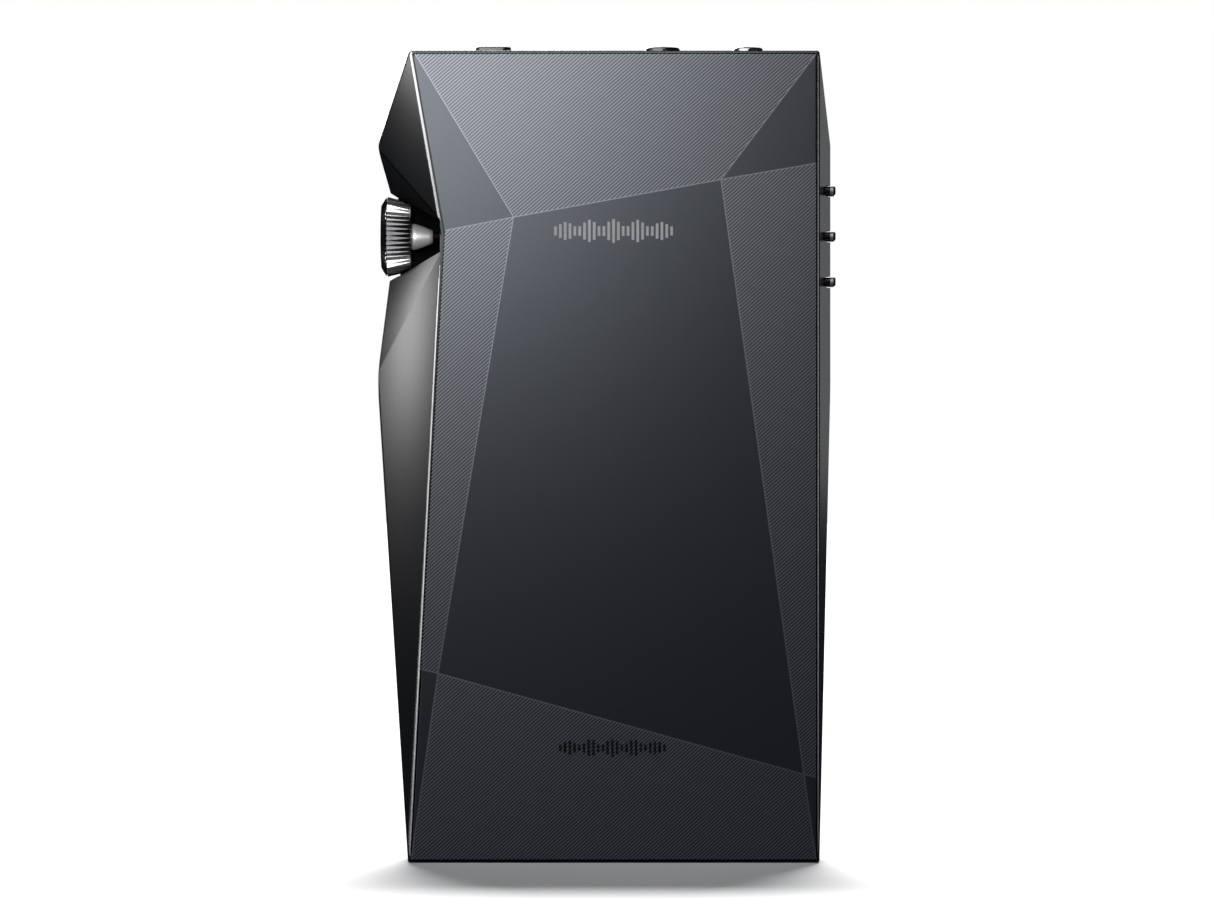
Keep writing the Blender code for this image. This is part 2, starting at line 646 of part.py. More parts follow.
# --- Battery and boards -----------------------------------------------------------------------
def build_battery():
    box("battery_cell", (-29.5 * MM, -4.7 * MM, 18.0 * MM), (24.5 * MM, 1.0 * MM, 92.0 * MM),
        SILVER_POUCH, rounding=0.8 * MM)
    box("battery_board", (-16 * MM, -2.9 * MM, 92.4 * MM), (12 * MM, -2.0 * MM, 96.4 * MM),
        BOARD_GREEN)
    path = [(-1.75 * MM, 94.0 * MM), (-1.75 * MM, 97.4 * MM), (1.9 * MM, 97.4 * MM),
            (1.9 * MM, 101.0 * MM)]
    strip("battery_flex", path, -0.2 * MM, -6 * MM, 4 * MM, AMBER_FLEX)


def shield(name, x, z, width, height, depth=2.4 * MM):
    """A pressed shield can on the back of a board, its low corner at x, z."""
    low = (x, BOARD_BACK_Y + 0.05 * MM, z)
    high = (x + width, BOARD_BACK_Y + depth, z + height)
    return box(name, low, high, STEEL, rounding=0.25 * MM)


def build_main_board():
    outline = [
        (-31.2 * MM, 60.0 * MM),
        (27.6 * MM, 60.0 * MM),
        (26.3 * MM, 98.0 * MM),
        (26.3 * MM, 101.9 * MM),
        (17.3 * MM, 101.9 * MM),
        (17.3 * MM, 115.0 * MM),
        (26.3 * MM, 115.0 * MM),
        (26.3 * MM, 118.0 * MM),
        (-31.2 * MM, 118.0 * MM),
    ]
    plate("main_board", [outline], BOARD_FRONT_Y, BOARD_BACK_Y, BOARD_GREEN)
    shield("processor_shield", -12 * MM, 84 * MM, 24 * MM, 24 * MM)
    shield("power_shield", -30 * MM, 64 * MM, 22 * MM, 16 * MM)
    shield("wifi_module", 2 * MM, 64 * MM, 14 * MM, 12 * MM, 1.8 * MM)
    box("thermal_pad", (-10 * MM, 5.7 * MM, 86 * MM), (10 * MM, 6.3 * MM, 106 * MM), GREY_PAD)


def build_audio_board():
    outline = rectangle(-31.2 * MM, 17.2 * MM, 28.4 * MM, 57.4 * MM)
    plate("audio_board", [outline], BOARD_FRONT_Y, BOARD_BACK_Y, BOARD_GREEN)
    shield("dac_shield_left", -28 * MM, 38 * MM, 17 * MM, 15 * MM)
    shield("dac_shield_right", 8 * MM, 38 * MM, 17 * MM, 15 * MM)
    shield("amp_shield", -22 * MM, 20 * MM, 38 * MM, 14 * MM)
    box("board_link_flex", (-8 * MM, 3.25 * MM, 54.5 * MM), (0, 3.45 * MM, 63 * MM), AMBER_FLEX)


# --- Top: headphone sockets and power button --------------------------------------------------
def build_jack(name, x, hole_radius, collar_radius, half_width, half_depth, length, collar_look):
    """A headphone socket body with a blind hole, and the collar that shows round its mouth."""
    body_top = TOP_WALL_Z - 0.1 * MM
    low = (x - half_width, -half_depth, body_top - length)
    high = (x + half_width, half_depth, body_top)
    body = box(f"{name}_jack_body", low, high, BLACK_PLASTIC, rounding=0.3 * MM)
    cut(body, rod(f"cut_{name}_bore", hole_radius, (x, 0, body_top - length + 1.5 * MM),
                  (x, 0, body_top + OVER), collection=CUTTERS))
    low_z, high_z = TOP_WALL_Z + 0.02 * MM, COLLAR_TOP_Z
    edge = 0.35 * MM
    profile = [
        (hole_radius + 0.1 * MM, high_z),
        (collar_radius - edge, high_z),
        (collar_radius, high_z - edge),
        (collar_radius, low_z),
        (hole_radius + 0.1 * MM, low_z),
    ]
    turned(f"{name}_jack_collar", profile, (x, 0, 0), collar_look, sides=40, bored=True)


def build_top():
    plate("jack_board", [rectangle(-31.5 * MM, 119.8 * MM, 3.0 * MM, 132.4 * MM)],
          4.45 * MM, 5.25 * MM, BOARD_GREEN)
    path = [(5.3 * MM, 122.4 * MM), (5.3 * MM, 119.4 * MM), (3.5 * MM, 117.4 * MM),
            (3.5 * MM, 113.6 * MM)]
    strip("jack_link_flex", path, 0.2 * MM, -8 * MM, 2 * MM, AMBER_FLEX)
    build_jack("balanced", BALANCED_JACK_X, 2.25 * MM, 3.05 * MM, 3.7 * MM, 4.2 * MM, 17.6 * MM,
               DARK_CHROME)
    build_jack("stereo", STEREO_JACK_X, 1.8 * MM, 2.6 * MM, 3.3 * MM, 4.2 * MM, 14.0 * MM,
               BRIGHT_METAL)

    cap = level_plate("power_button", [pill(POWER_X, 0, *POWER_SIZE)], 137.75 * MM, POWER_TOP_Z,
                      DARK_CHROME, rounding=0.25 * MM)
    flange = box("join_power_flange", (POWER_X - 4.0 * MM, -2.2 * MM, 137.15 * MM),
                 (POWER_X + 4.0 * MM, 2.2 * MM, 137.8 * MM), collection=CUTTERS)
    stem = rod("join_power_stem", 0.7 * MM, (POWER_X, 0, 136.75 * MM), (POWER_X, 0, 137.4 * MM),
               collection=CUTTERS, sides=16)
    join(cap, flange, stem)
    box("power_switch", (POWER_X - 1.8 * MM, -1.5 * MM, 135.05 * MM),
        (POWER_X + 1.8 * MM, 1.5 * MM, 136.3 * MM), STEEL, rounding=0.15 * MM)
    box("power_board", (POWER_X - 4.6 * MM, -2.6 * MM, 134.3 * MM),
        (POWER_X + 4.6 * MM, 2.6 * MM, 135.0 * MM), BOARD_GREEN)


def join(obj, *others):
    for other in others:
        modifier = obj.modifiers.new("join_" + other.name, "BOOLEAN")
        modifier.operation = "UNION"
        modifier.object = other
        modifier.solver = "EXACT"
    return obj


# --- Key side ---------------------------------------------------------------------------------
def build_side_keys():
    for name, z in zip(("previous", "play", "next"), key_heights()):
        key = side_plate(f"{name}_key", [pill(0, z, KEY_LENGTH, KEY_HEIGHT)], -HALF_WIDTH,
                         -35.4 * MM, DARK_CHROME, rounding=0.2 * MM)
        flange = box(f"join_{name}_flange", (-35.45 * MM, -4.7 * MM, z - 1.4 * MM),
                     (-34.8 * MM, 4.7 * MM, z + 1.4 * MM), collection=CUTTERS)
        stem = rod(f"join_{name}_stem", 0.7 * MM, (-35.0 * MM, -0.7 * MM, z),
                   (-34.35 * MM, -0.7 * MM, z), collection=CUTTERS, sides=16)
        join(key, flange, stem)
        box(f"{name}_switch", (-33.9 * MM, -2.4 * MM, z - 1.6 * MM),
            (-33.2 * MM, 1.0 * MM, z + 1.6 * MM), STEEL)
    box("side_key_board", (-33.15 * MM, -3.4 * MM, CROWN_Z - 13.5 * MM),
        (-32.55 * MM, 1.9 * MM, CROWN_Z + 13.5 * MM), AMBER_FLEX)
    box("side_key_bracket", (-32.5 * MM, -4.2 * MM, CROWN_Z - 15 * MM),
        (-31.8 * MM, 1.9 * MM, CROWN_Z + 15 * MM), STEEL)


# --- Underside: charging socket and card socket -----------------------------------------------
def build_underside():
    width, height, length = USB_SIZE
    low_z = 0.4 * MM
    shell = level_plate("usb_receptacle", [pill(0, 0, width, height)], low_z, low_z + length,
                        BRIGHT_METAL)
    mouth = level_plate("cut_usb_mouth", [pill(0, 0, width - 0.6 * MM, height - 0.6 * MM)],
                        low_z - OVER, low_z + length - 0.8 * MM, collection=CUTTERS)
    cut(shell, mouth)
    box("usb_tongue", (-3.35 * MM, -0.35 * MM, 1.6 * MM), (3.35 * MM, 0.35 * MM, 6.75 * MM),
        BLACK_PLASTIC)
    box("usb_board", (-28 * MM, 1.75 * MM, 2.5 * MM), (12 * MM, 2.55 * MM, 15.8 * MM),
        BOARD_GREEN)
    socket = box("card_socket", (CARD_SLOT_X - 7.0 * MM, -0.25 * MM, 2.5 * MM),
                 (CARD_SLOT_X + 7.0 * MM, 1.69 * MM, 15.6 * MM), STEEL)
    slot = box("cut_card_room", (CARD_SLOT_X - 5.8 * MM, CARD_SLOT_Y - 0.5 * MM, 2.5 * MM - OVER),
               (CARD_SLOT_X + 5.8 * MM, CARD_SLOT_Y + 0.5 * MM, 14.6 * MM), collection=CUTTERS)
    cut(socket, slot)


# --- Crown, shaft and encoder -----------------------------------------------------------------
def crown_ring(x, radius, shift):
    """One ring of the knurl. Ridges and valleys take turns, and shift swaps them."""
    points = []
    for i in range(2 * CROWN_TEETH):
        reach = radius - (KNURL_DEPTH if (i + shift) % 2 else 0)
        angle = math.pi * i / CROWN_TEETH
        points.append((x, reach * math.cos(angle), reach * math.sin(angle)))
    return points


def build_crown_knob():
    """The knurled crown. Each ring's ridges stand over its neighbour's valleys, which leaves long
    three-sided facets, as a diamond-cut crown has."""
    rings = [
        crown_ring(CROWN_BACK_X, CROWN_BACK_RADIUS, 0),
        crown_ring(CROWN_WIDEST_X, CROWN_RADIUS, 1),
        crown_ring(CROWN_FACE_X, CROWN_FACE_RADIUS, 0),
    ]
    shape = bmesh.new()
    loops = [[shape.verts.new(point) for point in ring] for ring in rings]
    count = 2 * CROWN_TEETH
    for level, (near, far) in enumerate(zip(loops, loops[1:])):
        for i in range(count):
            j = (i + 1) % count
            near_is_ridge = (i + level) % 2 == 0
            if near_is_ridge:
                shape.faces.new((near[i], near[j], far[j]))
                shape.faces.new((near[i], far[j], far[i]))
            else:
                shape.faces.new((near[i], near[j], far[i]))
                shape.faces.new((near[j], far[j], far[i]))
    shape.faces.new(loops[0])
    shape.faces.new(loops[-1])
    bmesh.ops.recalc_face_normals(shape, faces=shape.faces)
    mesh = bpy.data.meshes.new("crown_knob")
    shape.to_mesh(mesh)
    shape.free()
    knob = bpy.data.objects.new("crown_knob", mesh)
    knob.location = (0, 0, CROWN_Z)
    place(knob, PARTS, DARK_CHROME)
    shaft_hole = rod("cut_crown_shaft_hole", SHAFT_RADIUS + RUNNING_GAP,
                     (CROWN_BACK_X - OVER, 0, CROWN_Z), (36.7 * MM, 0, CROWN_Z), collection=CUTTERS)
    cap_seat = rod("cut_crown_cap_seat", 4.5 * MM, (38.5 * MM, 0, CROWN_Z),
                   (CROWN_FACE_X + OVER, 0, CROWN_Z), collection=CUTTERS, sides=48)
    return cut(knob, shaft_hole, cap_seat)


def build_crown():
    on_axis = (0, 0, CROWN_Z)
    bore = SHAFT_RADIUS + RUNNING_GAP
    build_crown_knob()
    cap = [(0, 39.2 * MM), (3.9 * MM, 39.05 * MM), (4.4 * MM, 38.8 * MM), (4.4 * MM, 38.55 * MM),
           (0, 38.55 * MM)]
    turned("crown_cap", cap, on_axis, BRIGHT_METAL, sides=48, along_x=True)
    hub = [
        (bore, 33.7 * MM),
        (2.3 * MM, 33.7 * MM),
        (2.3 * MM, 32.6 * MM),
        (2.0 * MM, 31.5 * MM),
        (1.6 * MM, 30.6 * MM),
        (1.35 * MM, 30.2 * MM),
        (bore, 30.1 * MM),
    ]
    turned("crown_hub", hub, on_axis, BRIGHT_METAL, along_x=True, bored=True)
    rod("crown_shaft", SHAFT_RADIUS, (19.7 * MM, 0, CROWN_Z), (36.5 * MM, 0, CROWN_Z), STEEL)
    bush = [
        (bore, 29.0 * MM),
        (2.0 * MM, 29.0 * MM),
        (2.0 * MM, 26.8 * MM),
        (2.9 * MM, 26.8 * MM),
        (2.9 * MM, 26.3 * MM),
        (bore, 26.3 * MM),
    ]
    turned("crown_bushing", bush, on_axis, BRASS, along_x=True, bored=True)
    clip = [(bore, 26.1 * MM), (1.9 * MM, 26.1 * MM), (1.9 * MM, 25.6 * MM), (bore, 25.6 * MM)]
    turned("crown_clip", clip, on_axis, STEEL, along_x=True, bored=True)
    rotor = [
        (bore, 22.4 * MM),
        (1.7 * MM, 22.4 * MM),
        (1.7 * MM, 21.6 * MM),
        (3.3 * MM, 21.6 * MM),
        (3.3 * MM, 20.6 * MM),
        (bore, 20.6 * MM),
    ]
    turned("encoder_rotor", rotor, on_axis, BLACK_PLASTIC, along_x=True, bored=True)
    housing = box("encoder_body", (19.4 * MM, -4.4 * MM, CROWN_Z - 5 * MM),
                  (24.9 * MM, 4.4 * MM, CROWN_Z + 5 * MM), STEEL)
    cut(housing,
        rod("cut_rotor_room", 3.7 * MM, (19.4 * MM - OVER, 0, CROWN_Z), (22.9 * MM, 0, CROWN_Z),
            collection=CUTTERS),
        rod("cut_encoder_bore", 1.2 * MM, (22 * MM, 0, CROWN_Z), (24.9 * MM + OVER, 0, CROWN_Z),
            collection=CUTTERS))
    box("encoder_board", (18.4 * MM, -4.6 * MM, CROWN_Z - 6.2 * MM),
        (19.2 * MM, 4.6 * MM, CROWN_Z + 6.2 * MM), BOARD_GREEN)


# --- Back: carrier, patterned film and glass --------------------------------------------------
def build_back():
    gap = RIM_WIDTH + GLASS_GAP
    holes = [circle(x, z, SCREW_HOLE_RADIUS, 16) for x, z in boss_centres()]
    seat = rounded(inset(BACK_OUTLINE, gap), 0.5 * MM)
    plate("rear_carrier", [seat, *holes], 6.45 * MM, 6.75 * MM, LIGHT_ALLOY)
    plate("rear_film", [seat], 7.4 * MM, 7.6 * MM, FILM)
    plate("rear_glass", [seat], 7.65 * MM, GLASS_Y, BACK_GLASS, rounding=0.2 * MM)
    for number, (x, z) in enumerate(boss_centres(), 1):
        screw(f"rear_screw_{number}", x, 6.8 * MM, z, into=-1)


build_frame()
build_front()
build_battery()
build_main_board()
build_audio_board()
build_top()
build_side_keys()
build_underside()
build_crown()
build_back()
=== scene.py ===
"""The looks of a pocket digital audio player: faceted black metal, a lined glass back and a knurled crown.

Lengths in this file are in millimetres until they reach a mesh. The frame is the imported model's own:
+Z up, the screen faces -Y, the glass back faces +Y and the crown is at +X.
"""

import json
import math

import bmesh
import bpy
from mathutils import Matrix, Vector

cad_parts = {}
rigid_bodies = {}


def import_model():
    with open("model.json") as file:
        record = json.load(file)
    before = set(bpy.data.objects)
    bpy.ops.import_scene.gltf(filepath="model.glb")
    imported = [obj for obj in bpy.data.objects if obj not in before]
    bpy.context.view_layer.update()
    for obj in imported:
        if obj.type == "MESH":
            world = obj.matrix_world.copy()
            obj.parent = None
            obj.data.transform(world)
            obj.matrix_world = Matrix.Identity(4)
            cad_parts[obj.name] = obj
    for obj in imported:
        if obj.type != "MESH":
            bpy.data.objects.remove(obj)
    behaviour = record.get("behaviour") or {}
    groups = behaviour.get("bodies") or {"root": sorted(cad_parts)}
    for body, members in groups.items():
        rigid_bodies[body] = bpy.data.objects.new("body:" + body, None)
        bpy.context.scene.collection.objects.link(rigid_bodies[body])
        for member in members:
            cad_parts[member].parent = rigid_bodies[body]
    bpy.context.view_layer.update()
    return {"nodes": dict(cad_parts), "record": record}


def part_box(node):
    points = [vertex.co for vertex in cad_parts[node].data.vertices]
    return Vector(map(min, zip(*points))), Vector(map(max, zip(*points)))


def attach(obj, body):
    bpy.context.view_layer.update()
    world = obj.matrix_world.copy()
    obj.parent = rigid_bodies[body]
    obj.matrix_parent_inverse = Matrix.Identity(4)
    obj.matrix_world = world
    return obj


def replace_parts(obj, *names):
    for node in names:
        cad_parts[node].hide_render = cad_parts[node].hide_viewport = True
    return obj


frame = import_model()
MM = 0.001
NODES = frame["nodes"]


def low_high(node):
    """A CAD node's lowest and highest corner, in millimetres."""
    low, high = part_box(node)
    return low / MM, high / MM


def high_of(node):
    return low_high(node)[1]


# --- Camera and light -------------------------------------------------------------------------
VIEW_WIDTH = 209.8  # how much of the back's plane the camera takes in, from side to side
CAMERA_DISTANCE = 1200.0
CAMERA_HEIGHT = 70.4
CAMERA_X = -0.17


def add_camera():
    back_y = low_high("rear_glass")[1].y
    data = bpy.data.cameras.new("camera")
    data.sensor_width = 36.0
    data.lens = data.sensor_width * CAMERA_DISTANCE / VIEW_WIDTH
    data.clip_start, data.clip_end = 0.05, 50.0
    camera = bpy.data.objects.new("camera", data)
    bpy.context.scene.collection.objects.link(camera)
    camera.location = Vector((CAMERA_X, back_y + CAMERA_DISTANCE, CAMERA_HEIGHT)) * MM
    camera.rotation_euler = (math.pi / 2, 0, math.pi)
    bpy.context.scene.camera = camera


def add_lamp(name, place, aim, size, power):
    """A soft rectangular lamp at place, in millimetres, facing aim."""
    data = bpy.data.lights.new(name, "AREA")
    data.shape = "RECTANGLE"
    data.size, data.size_y = size[0] * MM, size[1] * MM
    data.energy = power
    lamp = bpy.data.objects.new(name, data)
    bpy.context.scene.collection.objects.link(lamp)
    lamp.location = Vector(place) * MM
    facing = Vector(aim) - Vector(place)
    lamp.rotation_euler = facing.to_track_quat("-Z", "Y").to_euler()
    lamp.visible_camera = False
    return lamp


def add_world(seen, lighting):
    """A white backdrop for the camera, and a dimmer surround for everything else."""
    world = bpy.data.worlds.new("studio")
    bpy.context.scene.world = world
    world.use_nodes = True
    tree = world.node_tree
    tree.nodes.clear()
    output = tree.nodes.new("ShaderNodeOutputWorld")
    mix = tree.nodes.new("ShaderNodeMixShader")
    path = tree.nodes.new("ShaderNodeLightPath")
    surround, backdrop = tree.nodes.new("ShaderNodeBackground"), tree.nodes.new("ShaderNodeBackground")
    surround.inputs["Color"].default_value = (*lighting, 1)
    backdrop.inputs["Color"].default_value = (seen, seen, seen, 1)
    tree.links.new(path.outputs["Is Camera Ray"], mix.inputs[0])
    tree.links.new(surround.outputs[0], mix.inputs[1])
    tree.links.new(backdrop.outputs[0], mix.inputs[2])
    tree.links.new(mix.outputs[0], output.inputs[0])


# --- Materials --------------------------------------------------------------------------------
class Material:
    """A Principled material whose textures are laid out in millimetres of the player's own frame."""

    def __init__(self, name, colour, roughness, metallic=0.0, **sockets):
        self.made = bpy.data.materials.new(name)
        self.made.use_nodes = True
        self.nodes, self.links = self.made.node_tree.nodes, self.made.node_tree.links
        self.shader = self.nodes["Principled BSDF"]
        self.shader.inputs["Base Color"].default_value = (*colour, 1)
        self.shader.inputs["Roughness"].default_value = roughness
        self.shader.inputs["Metallic"].default_value = metallic
        for socket, value in sockets.items():
            self.shader.inputs[socket.replace("_", " ")].default_value = value
        self.place = self.nodes.new("ShaderNodeTexCoord").outputs["Object"]
        self.normal = None

    def scaled(self, x=1.0, y=1.0, z=1.0, turn=(0, 0, 0)):
        """Texture coordinates in millimetres, squeezed by x, y and z."""
        node = self.nodes.new("ShaderNodeMapping")
        node.inputs["Scale"].default_value = (x / MM, y / MM, z / MM)
        node.inputs["Rotation"].default_value = turn
        self.links.new(self.place, node.inputs["Vector"])
        return node.outputs[0]

    def noise(self, vector, detail=3.0, rough=0.6):
        node = self.nodes.new("ShaderNodeTexNoise")
        node.inputs["Scale"].default_value = 1.0
        node.inputs["Detail"].default_value = detail
        node.inputs["Roughness"].default_value = rough
        self.links.new(vector, node.inputs["Vector"])
        return node.outputs["Fac"]

    def cells(self, vector, feature="F1", distance="EUCLIDEAN"):
        node = self.nodes.new("ShaderNodeTexVoronoi")
        node.inputs["Scale"].default_value = 1.0
        node.feature = feature
        if feature != "DISTANCE_TO_EDGE":
            node.distance = distance
        self.links.new(vector, node.inputs["Vector"])
        return node

    def mapped(self, value, low, high, to_low, to_high):
        node = self.nodes.new("ShaderNodeMapRange")
        for socket, number in zip(("From Min", "From Max", "To Min", "To Max"),
                                  (low, high, to_low, to_high)):
            node.inputs[socket].default_value = number
        self.links.new(value, node.inputs["Value"])
        return node.outputs[0]

    def coloured(self, value, *stops):
        """A colour that runs through (position, colour) stops with the value."""
        ramp = self.nodes.new("ShaderNodeValToRGB")
        elements = ramp.color_ramp.elements
        while len(elements) < len(stops):
            elements.new(0.5)
        for element, (position, colour) in zip(elements, stops):
            element.position = position
            element.color = (*colour, 1)
        self.links.new(value, ramp.inputs[0])
        return ramp.outputs[0]

    def colour(self, source):
        self.links.new(source, self.shader.inputs["Base Color"])
        return self

    def roughness(self, source):
        self.links.new(source, self.shader.inputs["Roughness"])
        return self

    def metal(self, source):
        self.links.new(source, self.shader.inputs["Metallic"])
        return self

    def bump(self, height, strength, depth):
        """Adds relief. depth is how far the height's full range stands up, in millimetres."""
        node = self.nodes.new("ShaderNodeBump")
        node.inputs["Strength"].default_value = strength
        node.inputs["Distance"].default_value = depth * MM
        self.links.new(height, node.inputs["Height"])
        if self.normal is not None:
            self.links.new(self.normal, node.inputs["Normal"])
        self.normal = node.outputs[0]
        self.links.new(self.normal, self.shader.inputs["Normal"])
        return self


def blasted_metal(name, dark, light, rough_low, rough_high, **sockets):
    """Fine bead-blasted and anodised metal: a soft cloudiness, with grain finer than the eye sees."""
    made = Material(name, light, rough_high, 1.0, **sockets)
    cloud = made.noise(made.scaled(0.05, 0.05, 0.05), 2)
    grain = made.noise(made.scaled(9, 9, 9), 2)
    made.colour(made.coloured(cloud, (0.3, dark), (0.7, light)))
    made.roughness(made.mapped(made.noise(made.scaled(2, 2, 2), 3), 0.3, 0.7, rough_low, rough_high))
    made.bump(grain, 0.15, 0.001)
    return made.made


def brushed_metal(name, dark, light, roughness, squeeze):
    """Metal with fine lines along the axis that squeeze leaves long."""
    made = Material(name, light, roughness, 1.0)
    lines = made.noise(made.scaled(*squeeze), 4, 0.7)
    made.colour(made.coloured(lines, (0.25, dark), (0.75, light)))
    made.roughness(made.mapped(lines, 0.2, 0.8, roughness - 0.06, roughness + 0.1))
    made.bump(lines, 0.35, 0.006)
    return made.made


def moulded_plastic(name, colour, roughness):
    made = Material(name, colour, roughness)
    grain = made.noise(made.scaled(6, 6, 6), 3)
    darker = tuple(c * 0.7 for c in colour)
    made.colour(made.coloured(made.noise(made.scaled(0.2, 0.2, 0.2)), (0.3, darker), (0.7, colour)))
    made.roughness(made.mapped(grain, 0.3, 0.7, roughness - 0.08, roughness + 0.08))
    made.bump(grain, 0.3, 0.01)
    return made.made


def satin_silver():
    """Fine-ground silver metal, half of whose light is scattered."""
    made = Material("satin_silver", (0.85, 0.84, 0.83), 0.42, 0.6)
    lines = made.noise(made.scaled(0.4, 5, 5), 4, 0.7)
    made.colour(made.coloured(lines, (0.25, (0.8, 0.79, 0.78)), (0.75, (0.88, 0.87, 0.86))))
    made.roughness(made.mapped(lines, 0.2, 0.8, 0.4, 0.45))
    return made.made


def circuit_board(name):
    """Green solder mask over fine copper tracks, with pads and the shadows of small chips."""
    made = Material(name, (0.01, 0.06, 0.04), 0.4)
    tracks = made.cells(made.scaled(0.9, 0.9, 0.9), "DISTANCE_TO_EDGE")
    pads = made.cells(made.scaled(0.35, 0.35, 0.35), "F1", "CHEBYCHEV")
    on_track = made.mapped(tracks.outputs["Distance"], 0.03, 0.06, 1.0, 0.0)
    on_pad = made.mapped(pads.outputs["Distance"], 0.1, 0.14, 1.0, 0.0)
    mask = made.coloured(on_track, (0.0, (0.006, 0.045, 0.03)), (1.0, (0.03, 0.13, 0.08)))
    mix = made.nodes.new("ShaderNodeMix")
    mix.data_type = "RGBA"
    made.links.new(on_pad, mix.inputs["Factor"])
    made.links.new(mask, mix.inputs["A"])
    mix.inputs["B"].default_value = (0.75, 0.55, 0.22, 1)
    made.colour(mix.outputs["Result"]).metal(on_pad)
    made.bump(on_track, 0.4, 0.03)
    return made.made


def foil_pouch(name):
    made = Material(name, (0.5, 0.5, 0.5), 0.35, 0.8)
    crease = made.noise(made.scaled(0.15, 0.15, 0.6), 5)
    made.colour(made.coloured(crease, (0.3, (0.36, 0.36, 0.37)), (0.7, (0.6, 0.6, 0.6))))
    made.bump(crease, 0.5, 0.25)
    return made.made


def flexible_circuit(name):
    made = Material(name, (0.35, 0.16, 0.03), 0.35)
    wave = made.nodes.new("ShaderNodeTexWave")
    wave.inputs["Scale"].default_value = 0.6
    made.links.new(made.scaled(), wave.inputs["Vector"])
    lines = made.mapped(wave.outputs["Fac"], 0.4, 0.6, 0.0, 1.0)
    made.colour(made.coloured(lines, (0.0, (0.2, 0.08, 0.012)), (1.0, (0.5, 0.27, 0.08))))
    made.bump(lines, 0.3, 0.02)
    return made.made


def back_base():
    """The dark film behind the back glass: smooth, metallic and without a coat of its own."""
    made = Material("smoked_back", (0.2, 0.205, 0.215), 0.29, 1.0)
    speck = made.noise(made.scaled(6, 6, 6), 2)
    made.colour(made.coloured(speck, (0.3, (0.178, 0.191, 0.213)), (0.7, (0.192, 0.206, 0.23))))
    made.roughness(made.mapped(speck, 0.3, 0.7, 0.288, 0.298))
    return made.made


def back_lines():
    """The fine raised lines on the film: paler and more satin than the film."""
    made = Material("back_lines", (0.44, 0.45, 0.47), 0.36, 1.0)
    speck = made.noise(made.scaled(3, 3, 3), 2)
    made.colour(made.coloured(speck, (0.3, (0.46, 0.483, 0.523)), (0.7, (0.495, 0.52, 0.561))))
    made.roughness(made.mapped(speck, 0.3, 0.7, 0.352, 0.364))
    return made.made


def front_panel():
    """Black cover glass. The lit area of the screen is a trace bluer and smoother than its border."""
    made = Material("black_front_glass", (0.006, 0.006, 0.007), 0.06, 0.0, Coat_Weight=1.0,
                    Coat_Roughness=0.02)
    low, high = low_high("display_panel")
    split = made.nodes.new("ShaderNodeSeparateXYZ")
    made.links.new(made.scaled(), split.inputs[0])
    inside = None
    for axis, start, end in (("X", low.x + 1.2, high.x - 1.2), ("Z", low.z + 3.0, high.z - 1.2)):
        for edge, sign in ((start, 1), (end, -1)):
            step = made.mapped(split.outputs[axis], edge - 0.05, edge + 0.05,
                               0.0 if sign > 0 else 1.0, 1.0 if sign > 0 else 0.0)
            if inside is None:
                inside = step
                continue
            both = made.nodes.new("ShaderNodeMath")
            both.operation = "MULTIPLY"
            made.links.new(inside, both.inputs[0])
            made.links.new(step, both.inputs[1])
            inside = both.outputs[0]
    made.colour(made.coloured(inside, (0.0, (0.004, 0.004, 0.004)), (1.0, (0.011, 0.012, 0.016))))
    made.roughness(made.mapped(made.noise(made.scaled(0.05, 0.05, 0.05), 3), 0.3, 0.7, 0.04, 0.08))
    return made.made


FRAME_METAL = blasted_metal("black_anodised_metal", (0.117, 0.117, 0.119), (0.123, 0.123, 0.125),
                            0.245, 0.255)
KNURLED = blasted_metal("knurled_black_chrome", (0.12, 0.12, 0.122), (0.15, 0.15, 0.152), 0.2, 0.24)
POLISHED = brushed_metal("polished_metal", (0.5, 0.49, 0.48), (0.72, 0.7, 0.68), 0.14, (9, 0.6, 0.6))
# Painted highlight: a bright copy of the metal for the back-facing strips on the rim's long sides.
RIM_PAINTED_HIGHLIGHT = brushed_metal("rim_painted_highlight", (0.55, 0.55, 0.55), (0.65, 0.65, 0.65), 0.2, (6, 6, 0.3))
SATIN = satin_silver()
PRINT = moulded_plastic("silver_print", (0.62, 0.62, 0.63), 0.4)
# Painted shade: near-black matt metal for the inside of the pocket round the crown and for the crown's shaft
# and bushing.
POCKET_PAINTED_SHADE = blasted_metal("pocket_painted_shade", (0.012, 0.012, 0.012), (0.016, 0.016, 0.016), 0.5, 0.6)
CAP_METAL = brushed_metal("spun_cap", (0.1, 0.1, 0.105), (0.22, 0.22, 0.23), 0.24, (1, 3, 3))
KEY_METAL = blasted_metal("key_metal", (0.12, 0.12, 0.125), (0.18, 0.18, 0.185), 0.2, 0.28)
STEEL = brushed_metal("stamped_steel", (0.34, 0.34, 0.35), (0.56, 0.56, 0.57), 0.32, (0.3, 4, 4))
BRASS = brushed_metal("turned_brass", (0.42, 0.3, 0.1), (0.7, 0.52, 0.22), 0.28, (8, 0.4, 0.4))
GOLD = brushed_metal("gold_contacts", (0.7, 0.48, 0.16), (0.9, 0.66, 0.28), 0.2, (4, 4, 0.5))
ALLOY = blasted_metal("cast_alloy", (0.3, 0.3, 0.31), (0.45, 0.45, 0.46), 0.45, 0.6)
DARK_PLASTIC = moulded_plastic("black_plastic", (0.018, 0.018, 0.02), 0.45)
PAD = moulded_plastic("thermal_pad", (0.3, 0.32, 0.36), 0.8)
BOARD = circuit_board("circuit_board")
POUCH = foil_pouch("battery_foil")
FLEX = flexible_circuit("flexible_circuit")
BACK_BASE = back_base()
BACK_LINES = back_lines()
FRONT = front_panel()


